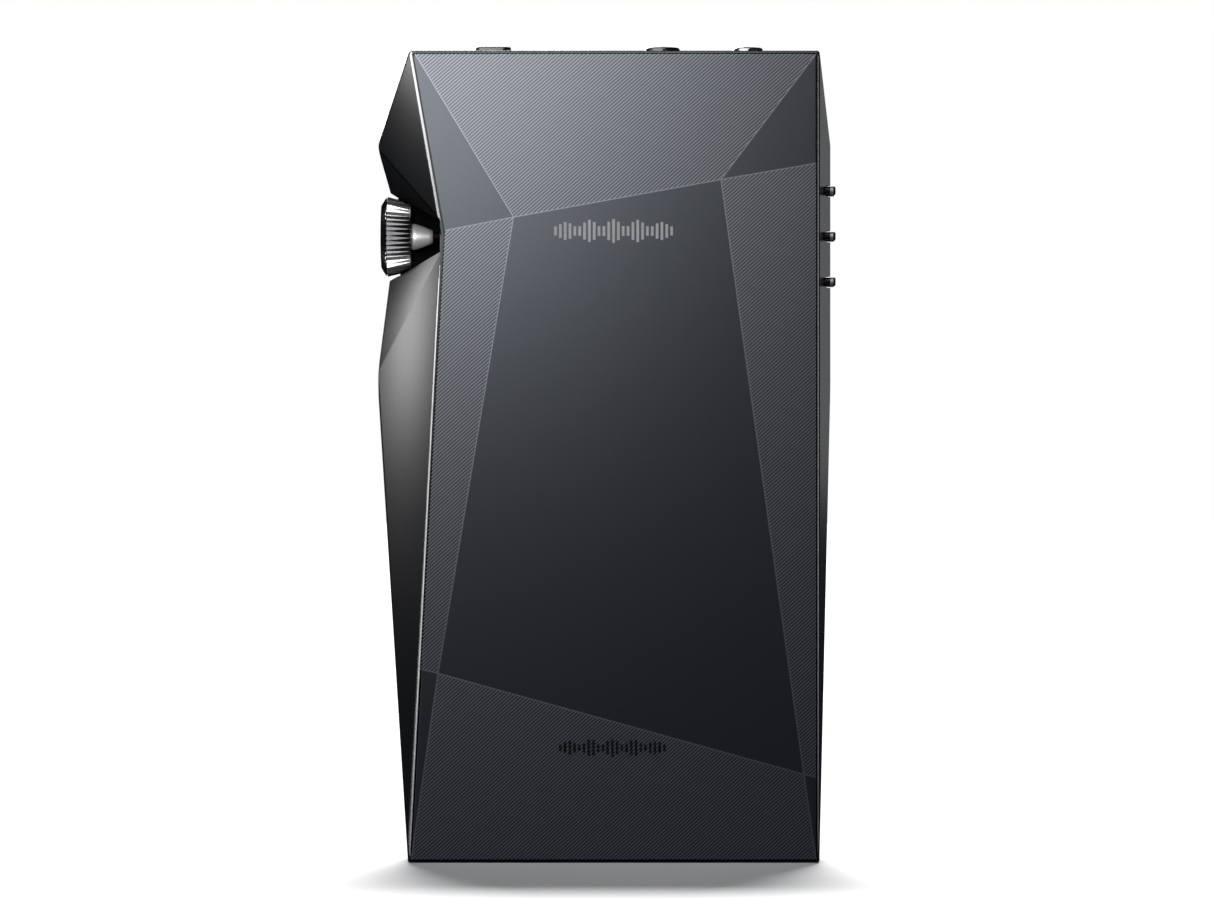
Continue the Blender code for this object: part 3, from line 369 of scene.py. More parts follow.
# --- Mesh helpers -----------------------------------------------------------------------------
def new_piece(name, shape, material, body="player", smooth=None):
    """Turns a bmesh in millimetres into a piece that rides on a body."""
    mesh = bpy.data.meshes.new(name)
    bmesh.ops.recalc_face_normals(shape, faces=shape.faces)
    shape.transform(Matrix.Scale(MM, 4))
    shape.to_mesh(mesh)
    shape.free()
    obj = bpy.data.objects.new(name, mesh)
    bpy.context.scene.collection.objects.link(obj)
    mesh.materials.append(material)
    if smooth is not None:
        mesh.shade_smooth()
        mesh.set_sharp_from_angle(angle=math.radians(smooth))
    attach(obj, body)
    return obj


def bevelled(shape, edges, width, segments=3):
    bmesh.ops.bevel(shape, geom=edges, offset=width, segments=segments, profile=0.5,
                    affect="EDGES", clamp_overlap=True)
    return shape


def join(shape, other):
    """Adds another bmesh to a shape and frees it."""
    extra = bpy.data.meshes.new("extra")
    other.to_mesh(extra)
    other.free()
    shape.from_mesh(extra)
    bpy.data.meshes.remove(extra)


def sharp_edges(shape, angle):
    limit = math.radians(angle)
    return [e for e in shape.edges if len(e.link_faces) == 2 and e.calc_face_angle() > limit]


def prism(outline, low, high, axis):
    """A closed prism of a flat outline, from low to high along an axis. For Y the outline is (x, z),
    for X it is (y, z) and for Z it is (x, y)."""
    def at(a, b, along):
        return {"X": (along, a, b), "Y": (a, along, b), "Z": (a, b, along)}[axis]

    shape = bmesh.new()
    near = [shape.verts.new(at(a, b, low)) for a, b in outline]
    far = [shape.verts.new(at(a, b, high)) for a, b in outline]
    shape.faces.new(near)
    shape.faces.new(far)
    for i in range(len(outline)):
        j = (i + 1) % len(outline)
        shape.faces.new((near[i], near[j], far[j], far[i]))
    bmesh.ops.recalc_face_normals(shape, faces=shape.faces)
    return shape


def pill(centre_a, centre_b, length, height, steps=10):
    """A bar with round ends, its long side along the first axis."""
    radius = height / 2
    reach = length / 2 - radius
    points = []
    for side, start in ((1, -math.pi / 2), (-1, math.pi / 2)):
        for k in range(steps + 1):
            angle = start + math.pi * k / steps
            points.append((centre_a + side * reach + radius * math.cos(angle),
                           centre_b + radius * math.sin(angle)))
    return points


def lathe(profile, centre, axis, sides=64):
    """A solid of revolution. The profile lists (radius, along). It closes on the axis where its ends
    have no radius, and otherwise back on itself."""
    shape = bmesh.new()
    rings = []
    for radius, along in profile:
        if radius == 0:
            rings.append([shape.verts.new((0, 0, along))])
        else:
            turns = (2 * math.pi * k / sides for k in range(sides))
            rings.append([shape.verts.new((radius * math.cos(t), radius * math.sin(t), along))
                          for t in turns])
    pairs = list(zip(rings, rings[1:]))
    if profile[0][0] and profile[-1][0]:
        pairs.append((rings[-1], rings[0]))
    for one, other in pairs:
        for k in range(sides):
            j = (k + 1) % sides
            corners = [one[k % len(one)], one[j % len(one)], other[j % len(other)], other[k % len(other)]]
            unique = list(dict.fromkeys(corners))
            if len(unique) > 2:
                shape.faces.new(unique)
    turn = {"Z": Matrix(), "X": Matrix.Rotation(math.pi / 2, 4, "Y")}[axis]
    shape.transform(Matrix.Translation(Vector(centre)) @ turn)
    return shape


def plane_facing(corners, inside):
    """The plane through three points, as (point, normal), its normal pointing away from inside."""
    a, b, c = (Vector(corner) for corner in corners)
    normal = (b - a).cross(c - a).normalized()
    return a, normal if normal.dot(Vector(inside) - a) < 0 else -normal


def shaved_box(low, high, planes):
    """A box with everything on the far side of each plane shaved off."""
    shape = bmesh.new()
    bmesh.ops.create_cube(shape, size=1)
    middle = [(a + b) / 2 for a, b in zip(low, high)]
    size = [b - a for a, b in zip(low, high)]
    shape.transform(Matrix.Translation(middle) @ Matrix.Diagonal((*size, 1)))
    for point, normal in planes:
        everything = shape.verts[:] + shape.edges[:] + shape.faces[:]
        result = bmesh.ops.bisect_plane(shape, geom=everything, plane_co=point, plane_no=normal,
                                        dist=1e-6, clear_outer=True)
        rim = [part for part in result["geom_cut"] if isinstance(part, bmesh.types.BMEdge)]
        bmesh.ops.contextual_create(shape, geom=rim)
    bmesh.ops.recalc_face_normals(shape, faces=shape.faces)
    return shape


def temporary(shape):
    """An unridden object that only serves a Boolean."""
    mesh = bpy.data.meshes.new("temporary")
    shape.to_mesh(mesh)
    shape.free()
    obj = bpy.data.objects.new("temporary", mesh)
    bpy.context.scene.collection.objects.link(obj)
    return obj


def combined(base, others, operation):
    """The base with a Boolean of each other object applied, as a bmesh. The objects are removed."""
    for other in others:
        modifier = base.modifiers.new("combine", "BOOLEAN")
        modifier.operation = operation
        modifier.object = other
        modifier.solver = "EXACT"
    bpy.context.view_layer.update()
    result = bmesh.new()
    result.from_object(base, bpy.context.evaluated_depsgraph_get())
    for obj in (base, *others):
        bpy.data.objects.remove(obj)
    return result


# --- The frame: the CAD solid with its ridges and rims rounded ----------------------------------
HULL_GROWTH = 0.01  # how far the looks stand outside the CAD solid, so that they never share a face
RIDGE_ROUNDING = 0.45

BACK_LEFT_X = -36.9
BACK_TOP_X, BACK_BEND_X, BACK_BOTTOM_X = 34.04, 28.4, 34.25  # down the crown side of the back
FRONT_RIGHT_X = 34.1
CORNER_STEP = 0.1  # the end facets of the sides stop this far outside the back's corners
RIDGE_X = -39.1
KEY_RIDGE_TOP_Z, KEY_RIDGE_BOTTOM_Z = 123.9, 83.9
CROWN_Z = 108.45
UPPER_PEAK_Z, LOWER_PEAK_Z = 124.1, 84.4
UPPER_START_Z, LOWER_START_Z = 123.75, 84.75  # where the facets beside the pocket leave the two peaks
UPPER_NOTCH, LOWER_NOTCH = (37.61, 0, 116.1), (37.79, 0, 100.8)  # where they meet the pocket's mouth
UPPER_END, LOWER_END = (28.95, 111.5), (28.58, 105.4)  # x, z where their ridges reach the back
NOTCH_FROM_X = 28.8

RIM_FROM_Y = 8.1
RIM_FACING = 0.78  # how squarely a face of the rim looks backwards
RIM_LARGEST_AREA = 80.0
POCKET_FROM_X, POCKET_WALL_X = 28.6, 28.7
POCKET_FROM_Y, POCKET_TO_Y = -5.4, 8.4
POCKET_HALF_HEIGHT = 2.9
POCKET_SLOPE = 0.54


def faceted_hull():
    """The frame's outside as one block, a hair larger than the CAD solid, with its ridges rounded."""
    high = high_of("body_frame")
    rim, top, bottom = high.y + HULL_GROWTH, high.z + HULL_GROWTH, -HULL_GROWTH
    middle = (0, 0, top / 2)
    left, ridge = BACK_LEFT_X - HULL_GROWTH, RIDGE_X - HULL_GROWTH
    front, peak = FRONT_RIGHT_X + HULL_GROWTH, high.x + HULL_GROWTH
    upper, lower = (peak, 0, UPPER_PEAK_Z), (peak, 0, LOWER_PEAK_Z)
    back_top = (BACK_TOP_X + HULL_GROWTH, rim, top)
    bend = (BACK_BEND_X + HULL_GROWTH, rim, CROWN_Z)
    back_bottom = (BACK_BOTTOM_X + HULL_GROWTH, rim, bottom)
    upper_start, lower_start = (peak, 0, UPPER_START_Z), (peak, 0, LOWER_START_Z)
    upper_end, lower_end = (UPPER_END[0], rim, UPPER_END[1]), (LOWER_END[0], rim, LOWER_END[1])
    front_bend = (front, -rim, CROWN_Z)

    def upright(a, b):
        return plane_facing([(*a, 0), (*b, 0), (*a, top)], middle)

    def across(a, b):
        return plane_facing([(a[0], 0, a[1]), (b[0], 0, b[1]), (a[0], rim, a[1])], middle)

    block = shaved_box((ridge, -rim, bottom), (peak + 1, rim, top), [
        upright((left, rim), (ridge, 0)),
        upright((left, -rim), (ridge, 0)),
        upright((front, -rim), (peak, 0)),
        across((left - CORNER_STEP, top), (ridge, KEY_RIDGE_TOP_Z)),
        across((left - CORNER_STEP, bottom), (ridge, KEY_RIDGE_BOTTOM_Z)),
        across((back_top[0] + CORNER_STEP, top), (peak, UPPER_PEAK_Z)),
        across((back_bottom[0] + CORNER_STEP, bottom), (peak, LOWER_PEAK_Z)),
    ])
    wedges = []
    for from_x, above, below in (
        (0, (back_top, upper, bend), (back_bottom, lower, bend)),
        (NOTCH_FROM_X, (upper_start, UPPER_NOTCH, upper_end), (lower_start, LOWER_NOTCH, lower_end)),
        (0, (upper_start, UPPER_NOTCH, front_bend), (lower_start, LOWER_NOTCH, front_bend)),
    ):
        planes = []
        for corners in (above, below):
            point, outward = plane_facing(corners, middle)
            planes.append((point, -outward))
        wedges.append(temporary(shaved_box((from_x, -20, -1), (60, 20, top + 1), planes)))
    shape = combined(temporary(block), wedges, "DIFFERENCE")
    bmesh.ops.remove_doubles(shape, verts=shape.verts, dist=0.002)
    bmesh.ops.dissolve_limit(shape, angle_limit=math.radians(0.4), verts=shape.verts, edges=shape.edges)
    for target in (upper, lower):
        near = [v for v in shape.verts if (v.co - Vector(target)).length < 1.2]
        bmesh.ops.pointmerge(shape, verts=near, merge_co=Vector(target))
    for corner in ((back_top[0], rim, top), (left, rim, top), (left, -rim, top), (front, -rim, top),
                   (left, rim, bottom), (left, -rim, bottom), (front, -rim, bottom),
                   (back_bottom[0], rim, bottom)):
        near = [v for v in shape.verts if (v.co - Vector(corner)).length < 0.9]
        bmesh.ops.pointmerge(shape, verts=near, merge_co=Vector(corner))
    ridges = [e for e in sharp_edges(shape, 4) if e.is_convex and e.calc_length() > 5]
    bmesh.ops.bevel(shape, geom=ridges, offset=RIDGE_ROUNDING, segments=5, profile=0.5, affect="EDGES",
                    clamp_overlap=False)
    return shape


BULGE = 0.12  # how far a facet's slope leans, as a tangent, from one side of its middle to the other


def swollen_facets():
    """The four facets on the crown's side of the back that bulge a little. Each is (corner, normal, hinge
    start, the way out from the hinge, the way along it, its reach, its length)."""
    high = high_of("body_frame")
    peak, rim, top = high.x, high.y, high.z
    upper, lower = (peak, 0, UPPER_PEAK_Z), (peak, 0, LOWER_PEAK_Z)
    back_top, bend = (BACK_TOP_X, rim, top), (BACK_BEND_X, rim, CROWN_Z)
    back_bottom = (BACK_BOTTOM_X, rim, 0)
    upper_end, lower_end = (UPPER_END[0], rim, UPPER_END[1]), (LOWER_END[0], rim, LOWER_END[1])
    found = []
    for corners, start, end, far in (
        ((back_top, upper, bend), back_top, bend, upper),
        ((back_bottom, lower, bend), back_bottom, bend, lower),
        ((upper, UPPER_NOTCH, upper_end), upper, upper_end, UPPER_NOTCH),
        ((lower, LOWER_NOTCH, lower_end), lower, lower_end, LOWER_NOTCH),
    ):
        corner, normal = plane_facing(corners, (0, 0, top / 2))
        hinge = Vector(end) - Vector(start)
        along = hinge.normalized()
        out = Vector(far) - Vector(start)
        out -= along * out.dot(along)
        found.append((corner, normal, Vector(start), out.normalized(), along, out.length, hinge.length))
    return found


def swell(mesh, facets):
    """Gives the facets of a mesh the shading of a slight bulge, and rounds the narrow strips between."""
    own = {}
    for polygon in mesh.polygons:
        centre = polygon.center / MM
        for corner, *facet in facets:
            if polygon.normal.dot(facet[0]) > 0.9996 and abs((centre - corner).dot(facet[0])) < 0.06:
                own[polygon.index] = facet

    def shading(polygon, vertex):
        if polygon.index not in own:
            return polygon.normal
        normal, start, out, along, reach, length = own[polygon.index]
        from_start = mesh.vertices[vertex].co / MM - start
        s, t = from_start.dot(out) / reach, from_start.dot(along) / length
        return (normal + BULGE * (out * (s - 1 / 3) + along * (t - 1 / 2))).normalized()

    around = {}
    for polygon in mesh.polygons:
        for vertex in polygon.vertices:
            around.setdefault(vertex, []).append(polygon)
    normals = [None] * len(mesh.loops)
    for polygon in mesh.polygons:
        flat = polygon.index in own or polygon.area > 3 * MM * MM
        for loop in polygon.loop_indices:
            vertex = mesh.loops[loop].vertex_index
            total = shading(polygon, vertex)
            if not flat:
                near = [p for p in around[vertex] if p.normal.dot(polygon.normal) > 0.85]
                total = sum((shading(p, vertex) * p.area for p in near), Vector())
                if total.length == 0:
                    total = polygon.normal
            normals[loop] = total.normalized()
    mesh.shade_smooth()
    mesh.normals_split_custom_set(normals)


def paint_rim_highlight_and_pocket_shade(mesh):
    """The back-facing strips of the rim's two long sides get a bright metal: a painted highlight. The pocket
    round the crown gets near-black matt metal inside: painted shade.
    """
    mesh.materials.append(POCKET_PAINTED_SHADE)
    mesh.materials.append(RIM_PAINTED_HIGHLIGHT)
    for polygon in mesh.polygons:
        x, y, z = polygon.center / MM
        sideways = abs(polygon.normal.x) > abs(polygon.normal.z)
        squarely = y > RIM_FROM_Y and polygon.normal.y > RIM_FACING
        if squarely and sideways and polygon.area < RIM_LARGEST_AREA * MM * MM:
            polygon.material_index = 2
        half_height = POCKET_HALF_HEIGHT + POCKET_SLOPE * (x - POCKET_WALL_X)
        if x > POCKET_FROM_X and POCKET_FROM_Y < y < POCKET_TO_Y and abs(z - CROWN_Z) <= half_height:
            polygon.material_index = 1


def build_frame():
    solid = bmesh.new()
    solid.from_mesh(NODES["body_frame"].data)
    solid.transform(Matrix.Scale(1 / MM, 4))
    bmesh.ops.remove_doubles(solid, verts=solid.verts, dist=0.001)
    shape = combined(temporary(solid), [temporary(faceted_hull())], "INTERSECT")
    piece = new_piece("frame_shell", shape, FRAME_METAL)
    swell(piece.data, swollen_facets())
    paint_rim_highlight_and_pocket_shade(piece.data)
    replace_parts(piece, "body_frame")


# --- The back: a dark panel with four bands of fine raised lines --------------------------------
TOP_LEFT, TOP_RIGHT = (33.0, 139.8), (-36.3, 139.8)
BOTTOM_LEFT, BOTTOM_RIGHT = (33.65, 0.6), (-36.3, 0.6)
INNER = {"upper_left": (15.99, 111.6), "upper_right": (-19.87, 118.1),
         "lower_left": (29.03, 32.75), "lower_right": (-34.2, 15.3)}
EDGE_UPPER_LEFT, EDGE_UPPER_RIGHT = (27.85, 109.3), (-36.3, 120.9)
EDGE_LOWER_LEFT, EDGE_LOWER_RIGHT = (32.0, 33.5), (-36.3, 14.8)
LINE_PITCH = 0.47
LINE_WIDTH = 0.185
LINE_SLOPE = math.radians(41.2)
LINE_RELIEF = 0.03
BORDER_WIDTH = 0.17


def panel_outline(node, low_y, high_y):
    """The (x, z) outline of a flat CAD panel, from the vertices of its edge."""
    found = {}
    for vertex in NODES[node].data.vertices:
        x, y, z = vertex.co / MM
        if low_y <= y <= high_y:
            found[(round(x, 3), round(z, 3))] = True
    middle_x, middle_z = 0.0, CAMERA_HEIGHT
    return sorted(found, key=lambda p: math.atan2(p[1] - middle_z, p[0] - middle_x))


def clipped(a, b, outline):
    """The part of the line a-b inside a convex outline that runs anticlockwise, or None."""
    start, end = Vector(a), Vector(b)
    run = end - start
    enter, leave = 0.0, 1.0
    for i in range(len(outline)):
        corner, following = Vector(outline[i]), Vector(outline[(i + 1) % len(outline)])
        side = following - corner
        inward = Vector((-side.y, side.x))
        toward = inward.dot(run)
        gap = inward.dot(corner - start)
        if abs(toward) < 1e-9:
            if gap > 0:
                return None
        elif toward > 0:
            enter = max(enter, gap / toward)
        else:
            leave = min(leave, gap / toward)
    return (start + run * enter, start + run * leave) if leave > enter else None


def anticlockwise(outline):
    area = sum(a[0] * b[1] - b[0] * a[1] for a, b in zip(outline, outline[1:] + outline[:1]))
    return outline if area > 0 else outline[::-1]


def raised_quad(shape, corners, base, top):
    low = [shape.verts.new((x, base, z)) for x, z in corners]
    high = [shape.verts.new((x, top, z)) for x, z in corners]
    shape.faces.new(high)
    shape.faces.new(low[::-1])
    for i in range(len(corners)):
        j = (i + 1) % len(corners)
        shape.faces.new((low[i], low[j], high[j], high[i]))


def bands():
    upper_left, upper_right = INNER["upper_left"], INNER["upper_right"]
    lower_left, lower_right = INNER["lower_left"], INNER["lower_right"]
    return [
        [TOP_LEFT, TOP_RIGHT, upper_right, upper_left],
        [EDGE_UPPER_LEFT, upper_left, lower_left, EDGE_LOWER_LEFT],
        [upper_right, EDGE_UPPER_RIGHT, EDGE_LOWER_RIGHT, lower_right],
        [lower_left, lower_right, BOTTOM_RIGHT, BOTTOM_LEFT],
    ]


def borders():
    upper_left, upper_right = INNER["upper_left"], INNER["upper_right"]
    lower_left, lower_right = INNER["lower_left"], INNER["lower_right"]
    return [
        (TOP_LEFT, upper_left), (upper_left, EDGE_UPPER_LEFT), (TOP_RIGHT, upper_right),
        (upper_right, EDGE_UPPER_RIGHT), (upper_left, upper_right), (upper_left, lower_left),
        (upper_right, lower_right), (lower_left, lower_right), (lower_left, EDGE_LOWER_LEFT),
        (lower_left, BOTTOM_LEFT), (lower_right, EDGE_LOWER_RIGHT), (lower_right, BOTTOM_RIGHT),
    ]


def build_lines(base, top):
    """The bands' parallel lines. Each one ends on its band's borders."""
    along = Vector((-math.cos(LINE_SLOPE), math.sin(LINE_SLOPE)))
    across = Vector((along.y, -along.x))
    shape = bmesh.new()
    for band in bands():
        outline = anticlockwise(band)
        reaches = [across.dot(Vector(corner)) for corner in outline]
        first = math.ceil(min(reaches) / LINE_PITCH)
        last = math.floor(max(reaches) / LINE_PITCH)
        for number in range(first, last + 1):
            ends = []
            for offset in (-LINE_WIDTH / 2, LINE_WIDTH / 2):
                middle = across * (number * LINE_PITCH + offset)
                ends.append(clipped(middle - along * 300, middle + along * 300, outline))
            if None in ends:
                continue
            (a, b), (c, d) = ends
            raised_quad(shape, [a, b, d, c], base, top)
    return new_piece("back_lines", shape, BACK_LINES)


def build_borders(base, top):
    shape = bmesh.new()
    for start, end in borders():
        a, b = Vector(start), Vector(end)
        run = (b - a).normalized()
        side = Vector((-run.y, run.x)) * BORDER_WIDTH / 2
        raised_quad(shape, [a - side, b - side, b + side, a + side], base, top)
    return new_piece("back_borders", shape, BACK_LINES)


def sound_bars(name, centre_x, centre_z, width, height, count, material, base, top):
    """A plain sound-level motif: thin bars whose heights swell in the middle and twice beside it."""
    shape = bmesh.new()
    pitch = width / count
    for k in range(count):
        across = (k + 0.5) / count * 2 - 1
        level = 0.35 + 0.65 * math.cos(across * math.pi * 2.5) ** 2 * (1 - 0.6 * across * across)
        x = centre_x + across * width / 2
        half_w, half_h = pitch * 0.28, height / 2 * level
        raised_quad(shape, [(x - half_w, centre_z - half_h), (x + half_w, centre_z - half_h),
                            (x + half_w, centre_z + half_h), (x - half_w, centre_z + half_h)], base, top)
    return new_piece(name, shape, material)


def build_back():
    low, high = low_high("rear_glass")
    base, top = high.y - LINE_RELIEF, high.y
    shape = prism(panel_outline("rear_glass", low.y + 0.02, high.y - 0.02), low.y, base, "Y")
    rim = [e for e in sharp_edges(shape, 60) if all(abs(v.co.y - base) < 1e-3 for v in e.verts)]
    bevelled(shape, rim, 0.12, 3)
    panel = new_piece("back_panel", shape, BACK_BASE)
    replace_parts(panel, "rear_glass")
    build_lines(base - 0.01, top)
    build_borders(base - 0.01, top - 0.005)
    sound_bars("back_motif_upper", -1.3, 109.2, 20.9, 4.1, 25, PRINT, base - 0.01, top)
    sound_bars("back_motif_lower", -1.1, 19.9, 18.8, 3.1, 23, CAP_METAL, base - 0.01, top)


def build_front():
    low, high = low_high("front_glass")
    shape = prism(panel_outline("front_glass", low.y + 0.02, high.y - 0.02), low.y, high.y, "Y")
    rim = [e for e in sharp_edges(shape, 60) if all(abs(v.co.y - low.y) < 1e-3 for v in e.verts)]
    bevelled(shape, rim, 0.3, 4)
    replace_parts(new_piece("front_cover", shape, FRONT), "front_glass")


# --- The crown --------------------------------------------------------------------------------
CROWN_TEETH = 48
SHAFT_HOLE = 0.92


def knurl_ring(shape, x, radius, depth, shift, middle):
    """A ring of points round the crown's axis, every other one sunk by depth."""
    points = []
    for i in range(2 * CROWN_TEETH):
        reach = radius - (depth if (i + shift) % 2 else 0)
        angle = math.pi * i / CROWN_TEETH
        points.append(shape.verts.new((x, middle.y + reach * math.cos(angle),
                                       middle.z + reach * math.sin(angle))))
    return points


def build_grip(middle):
    """The knurled wheel. Its teeth shift by half a tooth from ring to ring, which makes them cross."""
    low, high = low_high("crown_knob")
    outer = (high.z - low.z) / 2
    shape = bmesh.new()
    rings = [
        (low.x, 5.35, 0.0),
        (low.x + 0.12, 6.0, 0.4),
        (high.x - 1.15, outer, 0.46),
        (high.x - 1.0, outer - 0.45, 0.1),
        (high.x - 0.85, outer - 0.12, 0.3),
        (high.x - 0.02, 5.45, 0.14),
        (high.x, 5.15, 0.0),
    ]
    loops = [knurl_ring(shape, x, radius, depth, level, middle)
             for level, (x, radius, depth) in enumerate(rings)]
    count = 2 * CROWN_TEETH
    for level, (near, far) in enumerate(zip(loops, loops[1:])):
        for i in range(count):
            j = (i + 1) % count
            if (i + level) % 2 == 0:
                shape.faces.new((near[i], near[j], far[j]))
                shape.faces.new((near[i], far[j], far[i]))
            else:
                shape.faces.new((near[i], near[j], far[i]))
                shape.faces.new((near[j], far[j], far[i]))
    shape.faces.new(loops[0])
    inner = loops[-1]
    for x, radius in ((high.x, 4.95), (high.x - 0.35, 4.85)):
        ring = knurl_ring(shape, x, radius, 0.0, 0, middle)
        for i in range(count):
            j = (i + 1) % count
            shape.faces.new((inner[i], inner[j], ring[j], ring[i]))
        inner = ring
    shape.faces.new(inner)
    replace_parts(new_piece("crown_grip", shape, KNURLED, "crown"), "crown_knob")


def build_crown_face(middle):
    """The crown's end, spun in fine steps."""
    face_x = high_of("crown_cap").x
    profile = [(0, face_x - 0.12)]
    for k in range(14):
        profile.append((0.3 + k * 0.3, face_x - 0.1 + 0.04 * (k % 2)))
    profile += [(4.5, face_x - 0.08), (4.72, face_x - 0.2), (4.72, face_x - 0.5), (0, face_x - 0.5)]
    shape = lathe(profile, (0, middle.y, middle.z), "X", 96)
    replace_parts(new_piece("crown_face", shape, CAP_METAL, "crown", smooth=25), "crown_cap")


def build_crown_collar(middle):
    """The bright cone behind the wheel, its nose rounded towards the pocket's wall."""
    low, high = low_high("crown_hub")
    radius = (high.z - low.z) / 2
    profile = [
        (SHAFT_HOLE, low.x), (1.1, low.x + 0.08), (1.22, low.x + 0.25), (1.38, low.x + 0.7),
        (1.72, low.x + 1.5), (radius - 0.1, high.x - 0.7), (radius, high.x - 0.25),
        (radius - 0.1, high.x), (SHAFT_HOLE, high.x),
    ]
    shape = lathe(profile, (0, middle.y, middle.z), "X", 72)
    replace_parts(new_piece("crown_collar", shape, SATIN, "crown", smooth=40), "crown_hub")


def build_crown():
    low, high = low_high("crown_knob")
    middle = (low + high) / 2
    build_grip(middle)
    build_crown_face(middle)
    build_crown_collar(middle)


# --- Keys, power button, sockets ----------------------------------------------------------------
BALANCED_BORE, STEREO_BORE = 2.25, 1.8  # the inner radii of the two headphone sockets


def build_keys():
    for name in ("previous", "play", "next"):
        low, high = low_high(f"{name}_key")
        z = (low.z + high.z) / 2
        shape = prism(pill(0, z, 8.0, 1.5), low.x, low.x + 4.3, "X")
        front = [e for e in sharp_edges(shape, 60) if all(v.co.x < low.x + 0.01 for v in e.verts)]
        bevelled(shape, front, 0.28, 4)
        flange = prism([(-4.7, z - 1.4), (4.7, z - 1.4), (4.7, z + 1.4), (-4.7, z + 1.4)],
                       low.x + 4.4, high.x - 0.45, "X")
        stem = prism(pill(-0.7, z, 1.41, 1.4, 8), high.x - 0.45, high.x, "X")
        join(shape, flange)
        join(shape, stem)
        piece = new_piece(f"{name}_key_bar", shape, KEY_METAL, f"{name}_key", smooth=35)
        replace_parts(piece, f"{name}_key")
        band = prism(pill(0, z, 8.02, 1.52, 14), low.x + 0.42, low.x + 0.95, "X")
        new_piece(f"{name}_key_band", band, SATIN, f"{name}_key", smooth=35)


def build_power_button():
    low, high = low_high("power_button")
    x = (low.x + high.x) / 2
    shape = prism(pill(x, 0, 6.25, 3.0, 12), low.z + 1.05, high.z, "Z")
    top = [e for e in sharp_edges(shape, 60) if all(v.co.z > high.z - 0.01 for v in e.verts)]
    bevelled(shape, top, 0.35, 4)
    flange = prism([(x - 4, -2.2), (x + 4, -2.2), (x + 4, 2.2), (x - 4, 2.2)], low.z + 0.4, low.z + 1.0, "Z")
    join(shape, flange)
    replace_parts(new_piece("power_button_cap", shape, KEY_METAL, "power_button", smooth=35),
                "power_button")


def build_collar(node, bore, material):
    low, high = low_high(node)
    x = (low.x + high.x) / 2
    radius = (high.x - low.x) / 2
    profile = [(bore, low.z), (bore, high.z - 0.3), (bore + 0.12, high.z - 0.06), (bore + 0.3, high.z)]
    for k in range(7):
        angle = math.pi / 2 * k / 6
        profile.append((radius - 0.45 + 0.45 * math.sin(angle), high.z - 0.45 + 0.45 * math.cos(angle)))
    profile.append((radius, low.z))
    piece = new_piece(node.replace("jack_collar", "socket_ring"), lathe(profile, (x, 0, 0), "Z", 80),
                      material, smooth=30)
    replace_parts(piece, node)


def build_contacts(node, bore):
    """Spring contacts in a socket: slim gold rings at three depths."""
    low, high = low_high(node)
    x = (low.x + high.x) / 2
    for number in range(3):
        z = high.z - 2.2 - 3.0 * number
        profile = [(bore - 0.02, z), (bore - 0.22, z - 0.25), (bore - 0.22, z - 0.55), (bore - 0.02, z - 0.8)]
        new_piece(f"{node.split('_')[0]}_contact_{number + 1}", lathe(profile, (x, 0, 0), "Z", 48), GOLD,
                  smooth=30)


def build_usb():
    low, high = low_high("usb_tongue")
    shape = bmesh.new()
    for row in (low.y - 0.03, high.y - 0.01):
        for k in range(12):
            x = (k - 5.5) * 0.5
            outline = [(x - 0.14, row), (x + 0.14, row), (x + 0.14, row + 0.04), (x - 0.14, row + 0.04)]
            join(shape, prism(outline, low.z + 0.25, high.z - 1.6, "Z"))
    new_piece("usb_contacts", shape, GOLD)


# --- Finishes of the CAD nodes that stay ---------------------------------------------------------
FINISH_BY_SLOT = {
    "black_metal": FRAME_METAL, "front_glass": FRONT, "black_plastic": DARK_PLASTIC, "flex": FLEX,
    "light_alloy": ALLOY, "pouch": POUCH, "board": BOARD, "steel": STEEL, "pad": PAD,
    "dark_chrome": KEY_METAL, "bright_metal": POLISHED, "brass": BRASS, "film": BACK_BASE,
    "back_glass": BACK_BASE,
}


def finish_nodes():
    slots = {part["node"]: part["material_slot"] for part in frame["record"]["subparts"]}
    for name, node in NODES.items():
        # The crown's shaft and bushing get the near-black pocket metal: painted shade.
        in_painted_shade = name in ("crown_shaft", "crown_bushing")
        node.data.materials.clear()
        node.data.materials.append(POCKET_PAINTED_SHADE if in_painted_shade else FINISH_BY_SLOT[slots[name]])


# --- The stage --------------------------------------------------------------------------------
def add_floor():
    shape = bmesh.new()
    bmesh.ops.create_grid(shape, x_segments=1, y_segments=1, size=6000)
    shape.transform(Matrix.Scale(MM, 4) @ Matrix.Translation((0, 0, -0.02)))
    mesh = bpy.data.meshes.new("floor")
    shape.to_mesh(mesh)
    shape.free()
    floor = bpy.data.objects.new("floor", mesh)
    bpy.context.scene.collection.objects.link(floor)
    made = Material("floor_paint", (0.9, 0.9, 0.9), 0.9)
    made.colour(made.coloured(made.noise(made.scaled(0.01, 0.01, 0.01)), (0.3, (0.89, 0.89, 0.89)),
                              (0.7, (0.91, 0.91, 0.91))))
    mesh.materials.append(made.made)
    floor.visible_glossy = False
    floor.visible_diffuse = False
    return floor


def add_sun(name, slope, energy, spread, lit):
    """A soft light from above that only lights one collection. A positive slope comes from behind."""
    data = bpy.data.lights.new(name, "SUN")
    data.energy = energy
    data.angle = math.radians(spread)
    lamp = bpy.data.objects.new(name, data)
    bpy.context.scene.collection.objects.link(lamp)
    lamp.rotation_euler = (math.radians(slope), 0, 0)
    lamp.light_linking.receiver_collection = lit


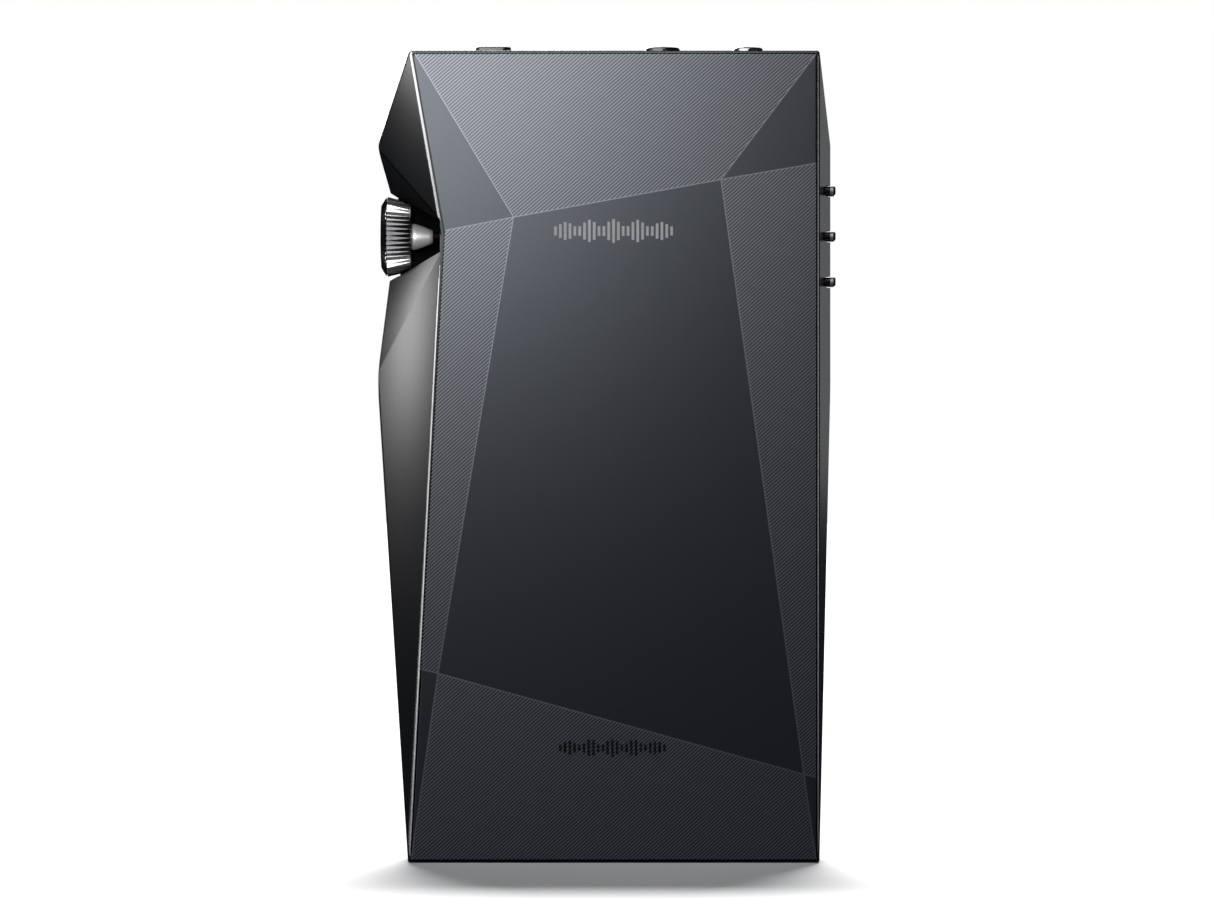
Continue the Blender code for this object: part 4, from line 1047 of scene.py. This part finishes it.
def group(name, pieces, spared=False):
    """A set of pieces a lamp lights, or, when spared, leaves alone."""
    lit = bpy.data.collections.new(name)
    for piece in pieces:
        lit.objects.link(piece)
    for link in lit.collection_objects:
        link.light_linking.link_state = "EXCLUDE" if spared else "INCLUDE"
    return lit


def add_light(floor):
    """Soft studio light. The crown and the floor have lamps of their own, which light nothing else."""
    add_world(1.0, (0.016, 0.02, 0.027))
    lamps = [
        add_lamp("key", (98, 150, 226), (10, 8, 100), (292, 292), 0.514),
        add_lamp("side", (400, 40, 150), (33, 5, 100), (60, 60), 0.09),
        add_lamp("other_side", (-230, -350, 140), (-38, 4, 90), (60, 160), 0.015),
        add_lamp("rim_left", (450, 440, 110), (33, 5, 110), (120, 200), 0.12),
        add_lamp("rim_right", (-450, 440, 90), (-36, 5, 90), (120, 200), 0.05),
        add_lamp("front_light", (150, -500, 300), (0, 0, 70), (300, 300), 3.0),
    ]
    crown = [obj for obj in bpy.data.objects if obj.name in ("crown_collar", "crown_grip")]
    all_but_crown = group("all_but_crown", [floor, *crown], spared=True)
    for lamp in lamps:
        lamp.light_linking.receiver_collection = all_but_crown
    only_crown = group("only_crown", crown)
    for name, spot, size, power in (("crown_high", (60, 620, 700), (160, 160), 0.4),
                                    ("crown_low", (60, 620, -480), (160, 160), 0.4),
                                    ("crown_edge", (900, 120, 108), (120, 300), 1.0),
                                    ("crown_level", (-120, 800, 108), (200, 380), 5.5)):
        lamp = add_lamp(name, spot, (35, 0, 108), size, power)
        lamp.light_linking.receiver_collection = only_crown
    ground = group("ground", [floor])
    add_sun("overhead_back", 33, 5.2, 18, ground)
    add_sun("overhead_front", -30, 0.75, 60, ground)
    bpy.context.scene.view_settings.view_transform = "Standard"


add_camera()
finish_nodes()
build_frame()
build_back()
build_front()
build_crown()
build_keys()
build_power_button()
build_collar("balanced_jack_collar", BALANCED_BORE, KEY_METAL)
build_collar("stereo_jack_collar", STEREO_BORE, POLISHED)
build_contacts("balanced_jack_body", BALANCED_BORE)
build_contacts("stereo_jack_body", STEREO_BORE)
build_usb()
add_light(add_floor())
